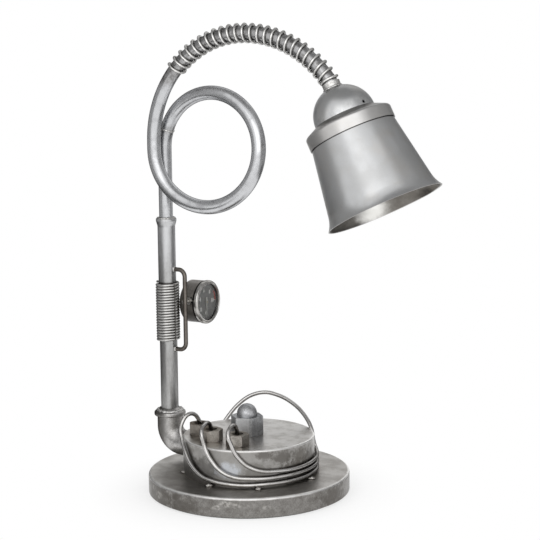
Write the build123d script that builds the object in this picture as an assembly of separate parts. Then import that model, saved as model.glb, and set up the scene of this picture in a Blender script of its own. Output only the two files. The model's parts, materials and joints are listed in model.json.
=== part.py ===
from build123d import *
import math
import os

# An industrial table lamp built of pipe, rod and turned steel. Millimetres, +Z up.
# The origin is the middle of the foot, on the table. +X is the way the shade reaches.

# Round pan that the lamp stands on
base_radius = 120.0
base_height = 25.0
base_wall = 4.0
base_edge_round = 3.0
felt_thickness = 2.0
felt_inset = 5.0
cover_thickness = 2.5
cover_boss_radius = 6.0
cover_boss_inset = 16.0
cover_screw_radius = 2.0
cover_screw_head_radius = 4.0
cover_screw_length = 12.0
cover_screw_count = 3
cover_screw_first_azimuth = 30.0
seat_clearance = 0.15
overrun = 5.0

# Rubber grommet in the rim of the pan, where a lead comes in
inlet_azimuth = 140.0
inlet_height = 13.5
inlet_bore_radius = 3.6
inlet_neck_radius = 5.2
inlet_flange_radius = 7.0
inlet_flange_thickness = 2.0
inlet_lift = 0.35

# Drum on the pan
drum_offset = 0.0
drum_radius = 78.4
drum_height = 43.5
drum_wall = 4.0
drum_edge_round = 1.8

# Stud, cap nut, washer and thin nut that clamp the drum to the pan
stud_offset = -2.0
stud_radius = 11.0
stud_hole_clearance = 0.5
thread_clearance = 0.05
cap_nut_across_flats = 34.0
cap_nut_hex_height = 22.5
cap_nut_dome_radius = 12.0
cap_nut_dome_neck = 2.3
cap_nut_turn = 19.0
cap_nut_bore_depth = 21.0
washer_radius = 21.0
washer_thickness = 2.5
thin_nut_height = 9.0
hex_corner_chamfer = 1.2

# Three open nuts on the drum, with a bent steel rod rising out of each
rod_nut_across_flats = 24.0
rod_nut_height = 13.0
rod_nut_bore_radius = 7.0
rod_nut_shares = {"left": 0.7423, "middle": 0.6454, "right": 0.648}
rod_nut_azimuths = {"left": -153.0, "middle": -118.3, "right": -73.0}
rod_nut_turns = {"left": -54.0, "middle": -17.0, "right": -37.0}
rod_radius = 2.4
rod_clearance = 0.6
rod_crest_heights = {"left": 26.5, "middle": 24.5, "right": 26.5}
rod_crest_shares = {"left": 0.5, "middle": 0.5, "right": 0.6}
rod_brow_heights = {"left": 12.5, "middle": 17.0, "right": 18.0}
rod_brow_azimuths = {"left": -138.5, "middle": -100.0, "right": -75.0}
rod_sweeps = {"left": 64.0, "middle": 45.0, "right": 40.0}
rod_turn_shares = {
    "left": [0.095, 0.22, 0.32, 0.455, 0.595, 0.78, 1.0],
    "middle": [0.06, 0.13, 0.225, 0.35, 0.5, 0.66, 1.0],
    "right": [0.07, 0.138, 0.23, 0.36, 0.53, 0.70, 1.0],
}
rod_drop_shares = [0.27, 0.47, 0.63, 0.79, 0.905, 0.968, 1.0]
rod_lift = 4.3
rod_spacing = 7.0
rod_last_azimuths = {"left": 122.0, "middle": 108.0}
rod_step_azimuth = 40.0
arc_rise_azimuths = [12.0, 34.0, 46.0, 53.5, 65.0, 80.0, 93.0, 108.0, 120.0, 131.0, 140.3, 150.0]
arc_rise_shares = [0.0, 0.03, 0.13, 0.42, 0.632, 0.829, 0.946, 1.0, 0.92, 0.73, 0.478, 0.15]
arc_crest_lift = 32.1

# Cast elbow between the drum and the upright pipe
elbow_height = 46.0
elbow_bend = 20.0
elbow_radius = 15.5
elbow_top = 83.5
elbow_bead_radius = 19.2
elbow_bead_thickness = 5.0
elbow_bead_round = 2.2
elbow_socket_depth = 16.0
elbow_weld_height = 5.0

# Upright pipe with a belled top
pole_offset = -113.5
pole_radius = 10.65
pole_wall = 2.0
pole_top = 321.5
pole_bell_radius = 12.4
pole_bell_length = 9.0
pole_bell_rim = 3.0

# Wire wound on the pipe
coil_wire_radius = 1.45
coil_clearance = 0.9
coil_turns = 21
coil_pitch = 3.35
coil_bottom = 171.8

# Bent rod on the pipe that carries the gauge
bracket_rod_radius = 2.6
bracket_reach = 25.5
bracket_bottom = 162.0
bracket_top = 260.0
bracket_bend = 8.5

# Round pressure gauge that faces the way the shade reaches
gauge_reach = 34.0
gauge_side = 40.0
gauge_height = 215.6
gauge_depth = 27.0
gauge_case_radius = 26.0
gauge_case_wall = 1.2
gauge_neck_radius = 24.0
gauge_groove = 1.3
bezel_radius = 26.8
bezel_depth = 5.0
bezel_lip = 1.8
bezel_sight_radius = 22.4
bezel_crown_share = 0.45
bezel_valley_share = 0.28
glass_thickness = 1.5
glass_clearance = 0.05
dial_setback = 5.6
dial_thickness = 0.6
dial_clearance = 0.15
dial_hole_radius = 1.6
stem_setback = 11.0
stem_rise = 5.0
stem_radius = 2.5
stem_nut_across_flats = 9.0
stem_nut_height = 4.0
stem_nut_lift = 0.6
socket_width = 7.0
socket_depth = 9.0

# Movement inside the gauge
plate_thickness = 1.0
plate_gap = 6.0
plate_radius = 15.0
plate_half_width = 5.0
pillar_radius = 1.2
arbor_radius = 0.9
running_clearance = 0.05
gear_module = 0.35
pinion_teeth = 10
gear_ratio = 6
tooth_backlash = 0.07
tooth_root_share = 1.25
tooth_tip_share = 0.45
tooth_base_share = 1.35
pinion_length = 3.0
sector_thickness = 1.2
sector_travel = 45.0
sector_margin = 8.0
sector_arm_radius = 3.0
sector_shaft_radius = 0.9
pointer_length = 17.0
pointer_tail = 6.0
pointer_half_width = 1.5
pointer_tip_half_width = 0.3
pointer_thickness = 0.6
pointer_hub_radius = 2.2
pointer_hub_length = 1.2
pointer_dial_gap = 0.7
bourdon_radius = 18.0
bourdon_half_width = 1.2
bourdon_half_height = 2.6
bourdon_sweep = 250.0

# Tube: riser, loop and arch
tube_radius = 8.3
tube_wall = 2.0
riser_overlap = 30.0
loop_half_width = 68.8
loop_half_height = 66.5
loop_height = 406.0
loop_step = 18.5
loop_outset = 2.2
weld_angle = 20.0
arch_straight = 9.6
shoulder_radius = 123.7
shoulder_angle = 44.2
crown_radius = 127.6
fall_radius = 141.9
fall_angle = 51.1
neck_bend_radius = 18.0
shade_tilt = 26.3

# Spring wound on the arch
spring_wire_radius = 1.5
spring_clearance = 0.3
spring_turns = 24
spring_start = 102.0
spring_stop_gap = 2.5

# Lead inside the tubes
lead_radius = 2.5
terminal_length = 24.0
terminal_width = 16.0
terminal_height = 14.0
terminal_pillar_radius = 4.0

# Head: collar, dome, cap and shade, along the axis of the head from the end of the tube
collar_radius = 10.2
collar_length = 6.6
collar_spigot = 3.0
spigot_clearance = 0.35
nipple_radius = 5.0
nipple_bore_radius = 3.4
nipple_start = 2.0
nipple_end = 19.3
dome_radius = 35.0
dome_wall = 1.8
dome_top = 5.2
dome_skirt = 0.6
vent_radius = 1.4
vent_azimuth = 198.5
vent_polar = 86.2
cap_radius = 50.2
cap_slope = 7.6
cap_end = 62.6
cap_wall = 1.0
cap_edge_round = 2.6
cap_hole_radius = 27.0
shade_wall = 1.4
shade_flange_radius = 47.0
shade_flange_gap = 2.2
shade_waist_radius = 61.0
shade_waist = 136.8
shade_rim_radius = 67.4
shade_rim = 151.8

# Lampholder for a screw bulb, 27 mm cap
nipple_nut_across_flats = 14.0
nipple_nut_height = 3.4
nipple_nut_lift = 1.2
holder_cap_radius = 21.0
holder_cap_top_radius = 15.0
holder_cap_top = 14.3
holder_cap_wall = 2.0
holder_skirt_radius = 19.6
holder_skirt_wall = 1.5
holder_skirt_end = 76.0
holder_core_length = 12.0
screw_shell_radius = 13.3
screw_shell_wall = 0.7
screw_shell_flange_radius = 17.0
contact_radius = 3.5
contact_pin_radius = 1.6
contact_height = 3.0
contact_pin_length = 6.0
contact_sink = 0.2
pocket_clearance = 0.5
contact_travel = 1.5
shade_ring_radius = 27.0
shade_ring_thickness = 5.0
shade_ring_lip = 2.0

# Places that follow from the sizes above
UP = Vector(0, 0, 1)
SIDE = Vector(0, 1, 0)
drum_top = base_height + drum_height
pole_bottom = elbow_top - elbow_socket_depth
pan_ceiling = base_height - base_wall
cover_top = felt_thickness + cover_thickness
rod_run_radius = drum_radius + rod_clearance + rod_radius
on_base = (Align.CENTER, Align.CENTER, Align.MIN)
parts = {}


def post(radius, bottom, top):
    """Upright round bar between two heights."""
    return Pos(0, 0, bottom) * Cylinder(radius, top - bottom, align=on_base)


def lathe(*outline):
    """Solid turned about Z from (radius, height, corner round) corners."""
    corners = [(radius, 0, height) for radius, height, _ in outline]
    rounds = [corner_round for _, _, corner_round in outline]
    return revolve(make_face(FilletPolyline(*corners, radius=rounds, close=True)), Axis.Z)


def hexagon(across_flats, bottom, top, chamfered_ends):
    """Hexagonal bar with its corners turned off at the named ends."""
    half = across_flats / 2
    corner = half / math.cos(math.pi / 6)
    bar = Pos(0, 0, bottom) * extrude(RegularPolygon(half, 6, major_radius=False), top - bottom)
    slope = hex_corner_chamfer / 2
    low_radius = corner - hex_corner_chamfer if "bottom" in chamfered_ends else corner
    high_radius = corner - hex_corner_chamfer if "top" in chamfered_ends else corner
    turned = Polyline(
        (0, 0, bottom),
        (low_radius, 0, bottom),
        (corner, 0, bottom + slope),
        (corner, 0, top - slope),
        (high_radius, 0, top),
        (0, 0, top),
        close=True,
    )
    return bar & revolve(make_face(turned), Axis.Z)


def link(start, end):
    """Straight line or pair of tangent arcs between two (point, heading) stations."""
    (point, heading), (far_point, far_heading) = start, end
    chord = far_point - point
    if chord.normalized().cross(heading).length + chord.normalized().cross(far_heading).length < 1e-6:
        return [Edge.make_line(point, far_point)]
    along = chord.dot(heading + far_heading)
    slack = 2 * (1 - heading.dot(far_heading))
    if slack < 1e-9:
        reach = chord.dot(chord) / (2 * along)
    else:
        reach = (math.sqrt(along * along + slack * chord.dot(chord)) - along) / slack
    near_knee = point + heading * reach
    far_knee = far_point - far_heading * reach
    middle = (near_knee + far_knee) / 2
    crossing = (far_knee - near_knee).normalized()
    return [
        Edge.make_tangent_arc(point, heading, middle),
        Edge.make_tangent_arc(middle, crossing, far_point),
    ]


def run(stations):
    """Path through stations, as one wire of lines and tangent arcs."""
    edges = []
    for start, end in zip(stations, stations[1:]):
        edges += link(start, end)
    return Wire(edges)


def bar_along(stations, radius):
    """Round bar swept through stations."""
    point, heading = stations[0]
    return sweep(Plane(point, z_dir=heading) * Circle(radius), path=run(stations))


def tube_along(stations, radius, wall):
    """Round tube swept through stations."""
    point, heading = stations[0]
    section = Plane(point, z_dir=heading) * (Circle(radius) - Circle(radius - wall))
    return sweep(section, path=run(stations))


def bend(station, radius, angle, axis):
    """Station at the end of a bend that turns the heading about an axis."""
    point, heading = station
    arm = axis.cross(heading).normalized() * radius
    turn = Axis((0, 0, 0), axis)
    return point + arm - arm.rotate(turn, angle), heading.rotate(turn, angle)


def winding(path, start, stop, turns, radius):
    """Stations every half turn of a right-handed helix round a path, with straight ends."""

    def place(length, phase):
        share = length / path.length
        centre = path.position_at(share)
        out = path.tangent_at(share).cross(SIDE)
        return centre + out * (radius * math.cos(phase)) + SIDE * (radius * math.sin(phase))

    stations = []
    half_turns = 2 * turns
    for step in range(half_turns + 1):
        points = []
        for nudge in (-0.02, 0.0, 0.02):
            share = (step + nudge) / half_turns
            points.append(place(start + (stop - start) * share, -math.pi * (step + nudge)))
        stations.append((points[1], (points[2] - points[0]).normalized()))
    return stations


def straight_ends(stations, length):
    """The same stations with a straight length before the first and after the last."""
    first_point, first_heading = stations[0]
    last_point, last_heading = stations[-1]
    before = (first_point - first_heading * length, first_heading)
    after = (last_point + last_heading * length, last_heading)
    return [before] + stations + [after]


def least_self_gap(stations, wire_radius, turn_length):
    """Least space between the turns of a wound wire, measured on points along it."""
    samples = []
    travelled = 0.0
    for edge in run(stations).edges():
        for share in (0.0, 0.25, 0.5, 0.75):
            samples.append((travelled + share * edge.length, tuple(edge.position_at(share))))
        travelled += edge.length
    gaps = []
    for place, (near_run, near_point) in enumerate(samples):
        for far_run, far_point in samples[place + 1:]:
            if turn_length / 2 < far_run - near_run < turn_length * 2:
                gaps.append(math.dist(near_point, far_point) - 2 * wire_radius)
    return min(gaps)


def around_drum(azimuth, radius, height):
    """Point at an azimuth and radius about the drum's axis."""
    angle = math.radians(azimuth)
    return Vector(drum_offset + radius * math.cos(angle), radius * math.sin(angle), height)


def drum_azimuth(point):
    """Azimuth of a point about the drum's axis."""
    return math.degrees(math.atan2(point.Y, point.X - drum_offset))


def drum_stations(places):
    """Stations through (azimuth, radius, height) places, with headings that follow the drum's curve."""
    points = [around_drum(*place) for place in places]
    stations = [(points[0], UP)]
    for number in range(1, len(places)):
        ahead = min(number + 1, len(places) - 1)
        near = (points[number] - points[number - 1]).length
        far = (points[ahead] - points[number]).length
        rates = []
        for before, here, after in zip(places[number - 1], places[number], places[ahead]):
            rate = (here - before) / near
            if far > 0:
                rate = (rate * far + (after - here) / far * near) / (near + far)
            rates.append(rate)
        azimuth, radius, _ = places[number]
        outward = Vector(1, 0, 0).rotate(Axis.Z, azimuth)
        across = UP.cross(outward) * (radius * math.radians(rates[0]))
        stations.append((points[number], (outward * rates[1] + across + UP * rates[2]).normalized()))
    return stations


def make_base():
    """Pan, bottom cover with its screws, felt and lead inlet."""
    wall_bore = base_radius - base_wall
    pan = lathe(
        (0, pan_ceiling, 0),
        (wall_bore, pan_ceiling, 0),
        (wall_bore, felt_thickness, 0),
        (base_radius, felt_thickness, base_edge_round / 2),
        (base_radius, base_height, base_edge_round),
        (0, base_height, 0),
    )
    boss_ring = wall_bore - cover_boss_inset
    cover = post(wall_bore - seat_clearance, felt_thickness, cover_top)
    screws = []
    for number in range(cover_screw_count):
        azimuth = cover_screw_first_azimuth + number * 360 / cover_screw_count
        place = Rot(0, 0, azimuth) * Pos(boss_ring, 0, 0)
        head = Pos(0, 0, felt_thickness) * Cone(
            cover_screw_head_radius, cover_screw_radius, cover_thickness, align=on_base
        )
        sink = Pos(0, 0, felt_thickness) * Cone(
            cover_screw_head_radius + seat_clearance,
            cover_screw_radius + seat_clearance,
            cover_thickness,
            align=on_base,
        )
        shank = post(cover_screw_radius, cover_top, felt_thickness + cover_screw_length)
        screws.append(place * (head + shank))
        cover -= place * sink
        pan += place * post(cover_boss_radius, cover_top, pan_ceiling)
        pan -= place * post(
            cover_screw_radius + thread_clearance, cover_top, felt_thickness + cover_screw_length
        )
    stud_hole = post(stud_radius + stud_hole_clearance, 0, base_height + overrun)
    pan -= Pos(stud_offset, 0, 0) * stud_hole
    pan -= Pos(terminal_place(), 0, 0) * post(lead_radius * 2, pan_ceiling - overrun, base_height + overrun)
    inlet_place = Rot(0, 0, inlet_azimuth) * Pos(base_radius, 0, inlet_height) * Rot(0, 90, 0)
    neck_back = -base_wall - inlet_lift
    pan -= inlet_place * post(inlet_neck_radius + seat_clearance, -base_wall - overrun, overrun)
    grommet = lathe(
        (inlet_bore_radius, neck_back - inlet_flange_thickness, 0),
        (inlet_flange_radius, neck_back - inlet_flange_thickness, 0),
        (inlet_flange_radius, neck_back, 0),
        (inlet_neck_radius, neck_back, 0),
        (inlet_neck_radius, inlet_lift, 0),
        (inlet_flange_radius, inlet_lift, 0),
        (inlet_flange_radius, inlet_lift + inlet_flange_thickness, inlet_flange_thickness / 2),
        (inlet_bore_radius, inlet_lift + inlet_flange_thickness, 0),
    )
    parts["base_pan"] = pan
    parts["base_cover"] = cover
    parts["cover_screws"] = Compound(children=screws)
    parts["felt_pad"] = post(base_radius - felt_inset, 0, felt_thickness)
    parts["lead_grommet"] = inlet_place * grommet


def terminal_place():
    """Distance along X of the terminal block, just inside the drum beside the elbow."""
    return drum_offset - drum_radius + drum_wall + terminal_length


def make_drum():
    """Drum, the stud and nuts that clamp it, and the terminal block inside."""
    bore = drum_radius - drum_wall
    ceiling = drum_top - drum_wall
    drum = lathe(
        (0, ceiling, 0),
        (bore, ceiling, 0),
        (bore, base_height, 0),
        (drum_radius, base_height, 0),
        (drum_radius, drum_top, drum_edge_round),
        (0, drum_top, 0),
    )
    drum = Pos(drum_offset, 0, 0) * drum
    drum -= Pos(stud_offset, 0, 0) * post(stud_radius + stud_hole_clearance, base_height, drum_top + overrun)
    lead_way = Pos(drum_offset - bore + overrun, 0, elbow_height) * Rot(0, -90, 0)
    drum -= lead_way * post(pole_radius - pole_wall, 0, drum_wall + 2 * overrun)
    parts["drum"] = drum
    washer_bottom = pan_ceiling - washer_thickness
    nut_bottom = washer_bottom - thin_nut_height
    hole = stud_radius + thread_clearance
    stud_top = drum_top + cap_nut_bore_depth
    stud_axis = Pos(stud_offset, 0, 0)
    parts["clamp_stud"] = stud_axis * post(stud_radius, nut_bottom, stud_top - seat_clearance)
    parts["clamp_washer"] = stud_axis * (
        post(washer_radius, washer_bottom, pan_ceiling) - post(hole, washer_bottom, pan_ceiling)
    )
    thin_nut = hexagon(cap_nut_across_flats, nut_bottom, washer_bottom, ["bottom", "top"])
    parts["clamp_nut"] = stud_axis * (thin_nut - post(hole, nut_bottom, washer_bottom))
    hex_top = drum_top + cap_nut_hex_height
    cap_nut = hexagon(cap_nut_across_flats, drum_top, hex_top, ["bottom", "top"])
    dome_base = hex_top + cap_nut_dome_neck
    cap_nut += post(cap_nut_dome_radius, hex_top, dome_base)
    cap_nut += Pos(0, 0, dome_base) * Sphere(cap_nut_dome_radius)
    cap_nut -= post(hole, drum_top, stud_top)
    parts["cap_nut"] = stud_axis * Rot(0, 0, cap_nut_turn) * cap_nut
    block_bottom = elbow_height - terminal_height / 2
    block = Box(terminal_length, terminal_width, terminal_height)
    pillar = post(terminal_pillar_radius, base_height, block_bottom)
    seat = Pos(terminal_place(), 0, 0)
    lead_pocket = Rot(0, -90, 0) * post(lead_radius + seat_clearance, 0, terminal_length)
    block = Pos(0, 0, elbow_height) * (block - lead_pocket)
    parts["terminal_block"] = seat * (block + Pos(0, terminal_width / 4, 0) * pillar)


def make_rods():
    """Open nuts on the drum and the bent rods that rise from them and wrap the drum."""
    heights = {"left": 0, "middle": 1, "right": 2}
    for name, order in heights.items():
        nut_radius = rod_nut_shares[name] * drum_radius
        place = around_drum(rod_nut_azimuths[name], nut_radius, 0)
        nut_top = drum_top + rod_nut_height
        nut = hexagon(rod_nut_across_flats, drum_top, nut_top, ["bottom", "top"])
        nut -= post(rod_nut_bore_radius, drum_top, nut_top)
        parts[f"rod_nut_{name}"] = Pos(place.X, place.Y, 0) * Rot(0, 0, rod_nut_turns[name]) * nut
        brow = around_drum(rod_brow_azimuths[name], rod_run_radius, drum_top + rod_brow_heights[name])
        crest = place + (brow - place) * rod_crest_shares[name]
        crest_radius = math.hypot(crest.X - drum_offset, crest.Y)
        places = [
            (rod_nut_azimuths[name], nut_radius, drum_top + seat_clearance),
            (rod_nut_azimuths[name], nut_radius, nut_top),
            (drum_azimuth(crest), crest_radius, drum_top + rod_crest_heights[name]),
            (rod_brow_azimuths[name], rod_run_radius, brow.Z),
        ]
        rest_height = base_height + rod_lift + order * rod_spacing
        for turn_share, drop_share in zip(rod_turn_shares[name], rod_drop_shares):
            azimuth = rod_brow_azimuths[name] + turn_share * rod_sweeps[name]
            places.append((azimuth, rod_run_radius, brow.Z - drop_share * (brow.Z - rest_height)))
        if name in rod_last_azimuths:
            start = places[-1][0]
            turn = rod_last_azimuths[name] - start
            steps = math.ceil(turn / rod_step_azimuth)
            for step in range(1, steps + 1):
                places.append((start + turn * step / steps, rod_run_radius, rest_height))
        else:
            for azimuth, share in zip(arc_rise_azimuths, arc_rise_shares):
                height = rest_height + share * (drum_top + arc_crest_lift - rest_height)
                places.append((azimuth, rod_run_radius, height))
        parts[f"trim_rod_{name}"] = bar_along(drum_stations(places), rod_radius)


def make_pole():
    """Elbow, upright pipe and the wire wound on it."""
    corner = Vector(pole_offset, 0, elbow_height)
    top = (corner + UP * (elbow_top - elbow_height), -UP)
    knee = (corner + UP * elbow_bend, -UP)
    foot = bend(knee, elbow_bend, 90, -SIDE)
    inside = (Vector(drum_offset - drum_radius / 2, 0, elbow_height), foot[1])
    elbow = bar_along([top, knee, foot, inside], elbow_radius)
    elbow += Pos(pole_offset, 0, 0) * lathe(
        (0, elbow_top - elbow_bead_thickness, 0),
        (elbow_bead_radius, elbow_top - elbow_bead_thickness, elbow_bead_round),
        (elbow_bead_radius, elbow_top, elbow_bead_round),
        (pole_radius + seat_clearance, elbow_top + elbow_weld_height, 0),
        (0, elbow_top + elbow_weld_height, 0),
    )
    pole_bore = pole_radius - pole_wall
    above = (top[0] + UP * overrun, -UP)
    elbow -= bar_along([above, knee, foot, inside], pole_bore)
    elbow -= Pos(pole_offset, 0, 0) * post(pole_radius + seat_clearance, pole_bottom, elbow_top + 2 * overrun)
    elbow -= Pos(drum_offset, 0, 0) * post(drum_radius, 0, elbow_top + overrun)
    parts["elbow"] = elbow
    bell_bottom = pole_top - pole_bell_length
    pipe = lathe(
        (pole_bore, pole_bottom, 0),
        (pole_radius, pole_bottom, 0),
        (pole_radius, bell_bottom, pole_bell_length),
        (pole_bell_radius, pole_top - pole_bell_rim, 0),
        (pole_bell_radius, pole_top, pole_wall / 3),
        (pole_bore, pole_top, 0),
    )
    parts["pole_pipe"] = Pos(pole_offset, 0, 0) * pipe
    coil_radius = pole_radius + coil_clearance + coil_wire_radius
    coil_length = coil_turns * coil_pitch
    coil_axis = run([(Vector(pole_offset, 0, coil_bottom), UP), (Vector(pole_offset, 0, pole_top), UP)])
    coil = winding(coil_axis, coil_wire_radius, coil_wire_radius + coil_length, coil_turns, coil_radius)
    coil = straight_ends(coil, 2 * coil_wire_radius)
    gap = least_self_gap(coil, coil_wire_radius, 2 * math.pi * coil_radius)
    print(f"pole_coil least gap between turns {gap:.2f} mm")
    parts["pole_coil"] = bar_along(coil, coil_wire_radius)


def make_bracket():
    """Bent rod that stands off the pipe."""
    corners = [
        (pole_offset, 0, bracket_bottom),
        (pole_offset + bracket_reach, 0, bracket_bottom),
        (pole_offset + bracket_reach, 0, bracket_top),
        (pole_offset, 0, bracket_top),
    ]
    path = FilletPolyline(*corners, radius=bracket_bend)
    rod = sweep(Plane(corners[0], z_dir=(1, 0, 0)) * Circle(bracket_rod_radius), path=path)
    rod -= Pos(pole_offset, 0, 0) * post(pole_radius, 0, pole_top)
    parts["gauge_bracket"] = rod


def gear_outline(teeth_total, first_tooth, tooth_count, root_centre):
    """Closed outline of straight-sided teeth, joined at its ends through root_centre if there is one."""
    pitch_radius = gear_module * teeth_total / 2
    tip_radius = pitch_radius + gear_module
    root_radius = pitch_radius - gear_module * tooth_root_share
    step = 2 * math.pi / teeth_total
    half_pitch = step / 4 - tooth_backlash / 2 / pitch_radius
    half_tip = half_pitch * tooth_tip_share
    half_root = half_pitch * tooth_base_share
    points = []
    for number in range(tooth_count):
        middle = first_tooth * step + number * step
        for radius, offset in (
            (root_radius, -half_root),
            (tip_radius, -half_tip),
            (tip_radius, half_tip),
            (root_radius, half_root),
        ):
            angle = middle + offset
            points.append((radius * math.cos(angle), radius * math.sin(angle)))
    return points + root_centre


def make_gauge():
    """Pressure gauge: case, bezel, glass, dial, stem, Bourdon tube and movement."""
    front = Plane((pole_offset + gauge_reach, gauge_side, gauge_height), x_dir=(0, 1, 0), z_dir=(1, 0, 0))
    place = front.location
    case_bore = gauge_neck_radius - gauge_case_wall
    glass_back = -bezel_lip - glass_thickness - glass_clearance
    stem_way = Pos(0, stem_rise, -stem_setback) * Rot(0, -90, 0)
    case = lathe(
        (0, -gauge_depth, 0),
        (gauge_case_radius, -gauge_depth, gauge_case_wall),
        (gauge_case_radius, -bezel_depth - gauge_groove, 0),
        (gauge_neck_radius, -bezel_depth - gauge_groove, 0),
        (gauge_neck_radius, glass_back, 0),
        (case_bore, glass_back, 0),
        (case_bore, -gauge_depth + gauge_case_wall, 0),
        (0, -gauge_depth + gauge_case_wall, 0),
    )
    case -= stem_way * post(stem_radius + seat_clearance, case_bore - overrun, gauge_case_radius + overrun)
    parts["gauge_case"] = place * case
    skirt_bore = gauge_neck_radius + seat_clearance
    crown = bezel_sight_radius + bezel_crown_share * (bezel_radius - bezel_sight_radius)
    inner_crown = bezel_sight_radius + bezel_valley_share * (bezel_radius - bezel_sight_radius)
    bezel = lathe(
        (skirt_bore, -bezel_depth, 0),
        (bezel_radius, -bezel_depth, 0),
        (bezel_radius, -bezel_lip, bezel_lip),
        (crown, 0, bezel_lip / 4),
        (inner_crown, -bezel_lip / 2, 0),
        (bezel_sight_radius, -bezel_lip / 3, 0),
        (bezel_sight_radius, -bezel_lip, 0),
        (skirt_bore, -bezel_lip, 0),
    )
    parts["gauge_bezel"] = place * bezel
    parts["gauge_glass"] = place * post(gauge_neck_radius, -bezel_lip - glass_thickness, -bezel_lip)
    dial_back = -dial_setback - dial_thickness
    dial = post(case_bore - dial_clearance, dial_back, -dial_setback)
    parts["gauge_dial"] = place * (dial - post(dial_hole_radius, dial_back, -dial_setback))
    make_stem(place, stem_way)
    make_movement(place, dial_back)


def make_stem(place, stem_way):
    """Stem with its socket block, the nut that holds it to the case, and the Bourdon tube."""
    stem_length = gauge_side - socket_depth
    case_bore = gauge_neck_radius - gauge_case_wall
    socket_end = math.sqrt(case_bore ** 2 - (stem_rise + socket_width / 2) ** 2) - seat_clearance
    socket_start = socket_end - socket_depth
    stem = stem_way * post(stem_radius, socket_start, gauge_side)
    socket_back = gauge_depth - gauge_case_wall - stem_setback
    block = Box(socket_depth, socket_width, socket_back, align=(Align.CENTER, Align.CENTER, Align.MAX))
    stem += Pos(-socket_start - socket_depth / 2, stem_rise, -stem_setback) * block
    stem = place * stem
    rod_line = Pos(pole_offset + bracket_reach, 0, 0)
    stem -= rod_line * post(bracket_rod_radius, gauge_height - stem_length, gauge_height + stem_length)
    stem -= front_cut(place)
    parts["gauge_stem"] = stem
    nut_start = gauge_case_radius + stem_nut_lift
    nut = hexagon(stem_nut_across_flats, nut_start, nut_start + stem_nut_height, [])
    nut -= post(stem_radius + thread_clearance, nut_start, nut_start + stem_nut_height)
    parts["gauge_stem_nut"] = place * stem_way * nut
    section = Plane((0, 0, 0), x_dir=(1, 0, 0), z_dir=(0, 1, 0))
    tube_face = section * Pos(-bourdon_radius, 0) * Ellipse(bourdon_half_width, bourdon_half_height)
    ring = revolve(tube_face, Axis.Z, bourdon_sweep)
    socket_foot = stem_rise - socket_width / 2
    start_angle = -math.degrees(math.asin(socket_foot / (bourdon_radius + bourdon_half_width)))
    bourdon_middle = -gauge_depth + gauge_case_wall + bourdon_half_height * 2
    parts["gauge_bourdon_tube"] = place * Pos(0, 0, bourdon_middle) * Rot(0, 0, start_angle) * ring


def front_cut(place):
    """Everything past the outside of the case's back, which the stem's block must not reach."""
    return place * post(gauge_case_radius, -gauge_depth - overrun, -gauge_depth + gauge_case_wall)


def make_movement(place, dial_back):
    """Plates, arbor with pinion, pointer and toothed sector."""
    front_plate_back = dial_back - plate_thickness
    rear_plate_front = front_plate_back - plate_gap
    rear_plate_back = rear_plate_front - plate_thickness
    pitch_radius = gear_module * pinion_teeth / 2
    sector_teeth = pinion_teeth * gear_ratio
    centres = pitch_radius * (1 + gear_ratio)
    sector_axis = Pos(0, centres, 0)
    outline = Pos(0, plate_radius / 4) * SlotCenterToCenter(plate_radius, 2 * plate_half_width, rotation=90)
    holes = Circle(arbor_radius + running_clearance)
    holes += Pos(0, centres) * Circle(sector_shaft_radius + running_clearance)
    plate = extrude(outline - holes, plate_thickness)
    frame = Pos(0, 0, front_plate_back) * plate + Pos(0, 0, rear_plate_back) * plate
    for side in (-1, 1):
        pillar = post(pillar_radius, rear_plate_front, front_plate_back)
        frame += Pos(side * (plate_half_width - pillar_radius), -plate_radius / 4, 0) * pillar
    post_bottom = -gauge_depth + gauge_case_wall
    frame += Pos(0, -plate_radius / 4, 0) * post(pillar_radius * 2, post_bottom, rear_plate_back)
    parts["gauge_movement_frame"] = place * frame
    pinion_middle = (front_plate_back + rear_plate_front) / 2
    pointer_back = -dial_setback + pointer_dial_gap
    arbor = post(arbor_radius, rear_plate_back, pointer_back + pointer_hub_length)
    pinion_face = make_face(Polyline(*gear_outline(pinion_teeth, 0.5, pinion_teeth, []), close=True))
    pinion_start = pinion_middle - pinion_length / 2
    arbor += Rot(0, 0, 90) * Pos(0, 0, pinion_start) * extrude(pinion_face, pinion_length)
    parts["gauge_arbor"] = place * arbor
    make_sector(place, sector_axis, sector_teeth, pinion_middle, rear_plate_back, dial_back)
    make_pointer(place, pointer_back)


def make_sector(place, sector_axis, sector_teeth, middle, shaft_start, shaft_end):
    """Toothed sector on its shaft, in mesh with the pinion at one end of its teeth."""
    tooth_angle = 360 / sector_teeth
    tooth_count = math.ceil((sector_travel + 2 * sector_margin) / tooth_angle)
    first_tooth = math.floor(sector_margin / tooth_angle) - tooth_count + 1
    outline = gear_outline(sector_teeth, first_tooth, tooth_count, [(0, 0)])
    sector = Pos(0, 0, middle - sector_thickness / 2) * extrude(
        make_face(Polyline(*outline, close=True)), sector_thickness
    )
    sector += post(sector_arm_radius, middle - sector_thickness / 2, middle + sector_thickness / 2)
    sector += post(sector_shaft_radius, shaft_start, shaft_end)
    parts["gauge_sector"] = place * sector_axis * Rot(0, 0, -90) * sector


def make_pointer(place, pointer_back):
    """Pointer on its hub, at its stop with the tip straight down."""
    outline = Polyline(
        (-pointer_half_width, pointer_tail),
        (pointer_half_width, pointer_tail),
        (pointer_tip_half_width, -pointer_length),
        (-pointer_tip_half_width, -pointer_length),
        close=True,
    )
    hub_front = pointer_back + pointer_hub_length
    pointer = Pos(0, 0, pointer_back) * extrude(make_face(outline), pointer_thickness)
    pointer += post(pointer_hub_radius, pointer_back, hub_front)
    pointer -= post(arbor_radius + thread_clearance, pointer_back, hub_front)
    parts["gauge_pointer"] = place * pointer


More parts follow.
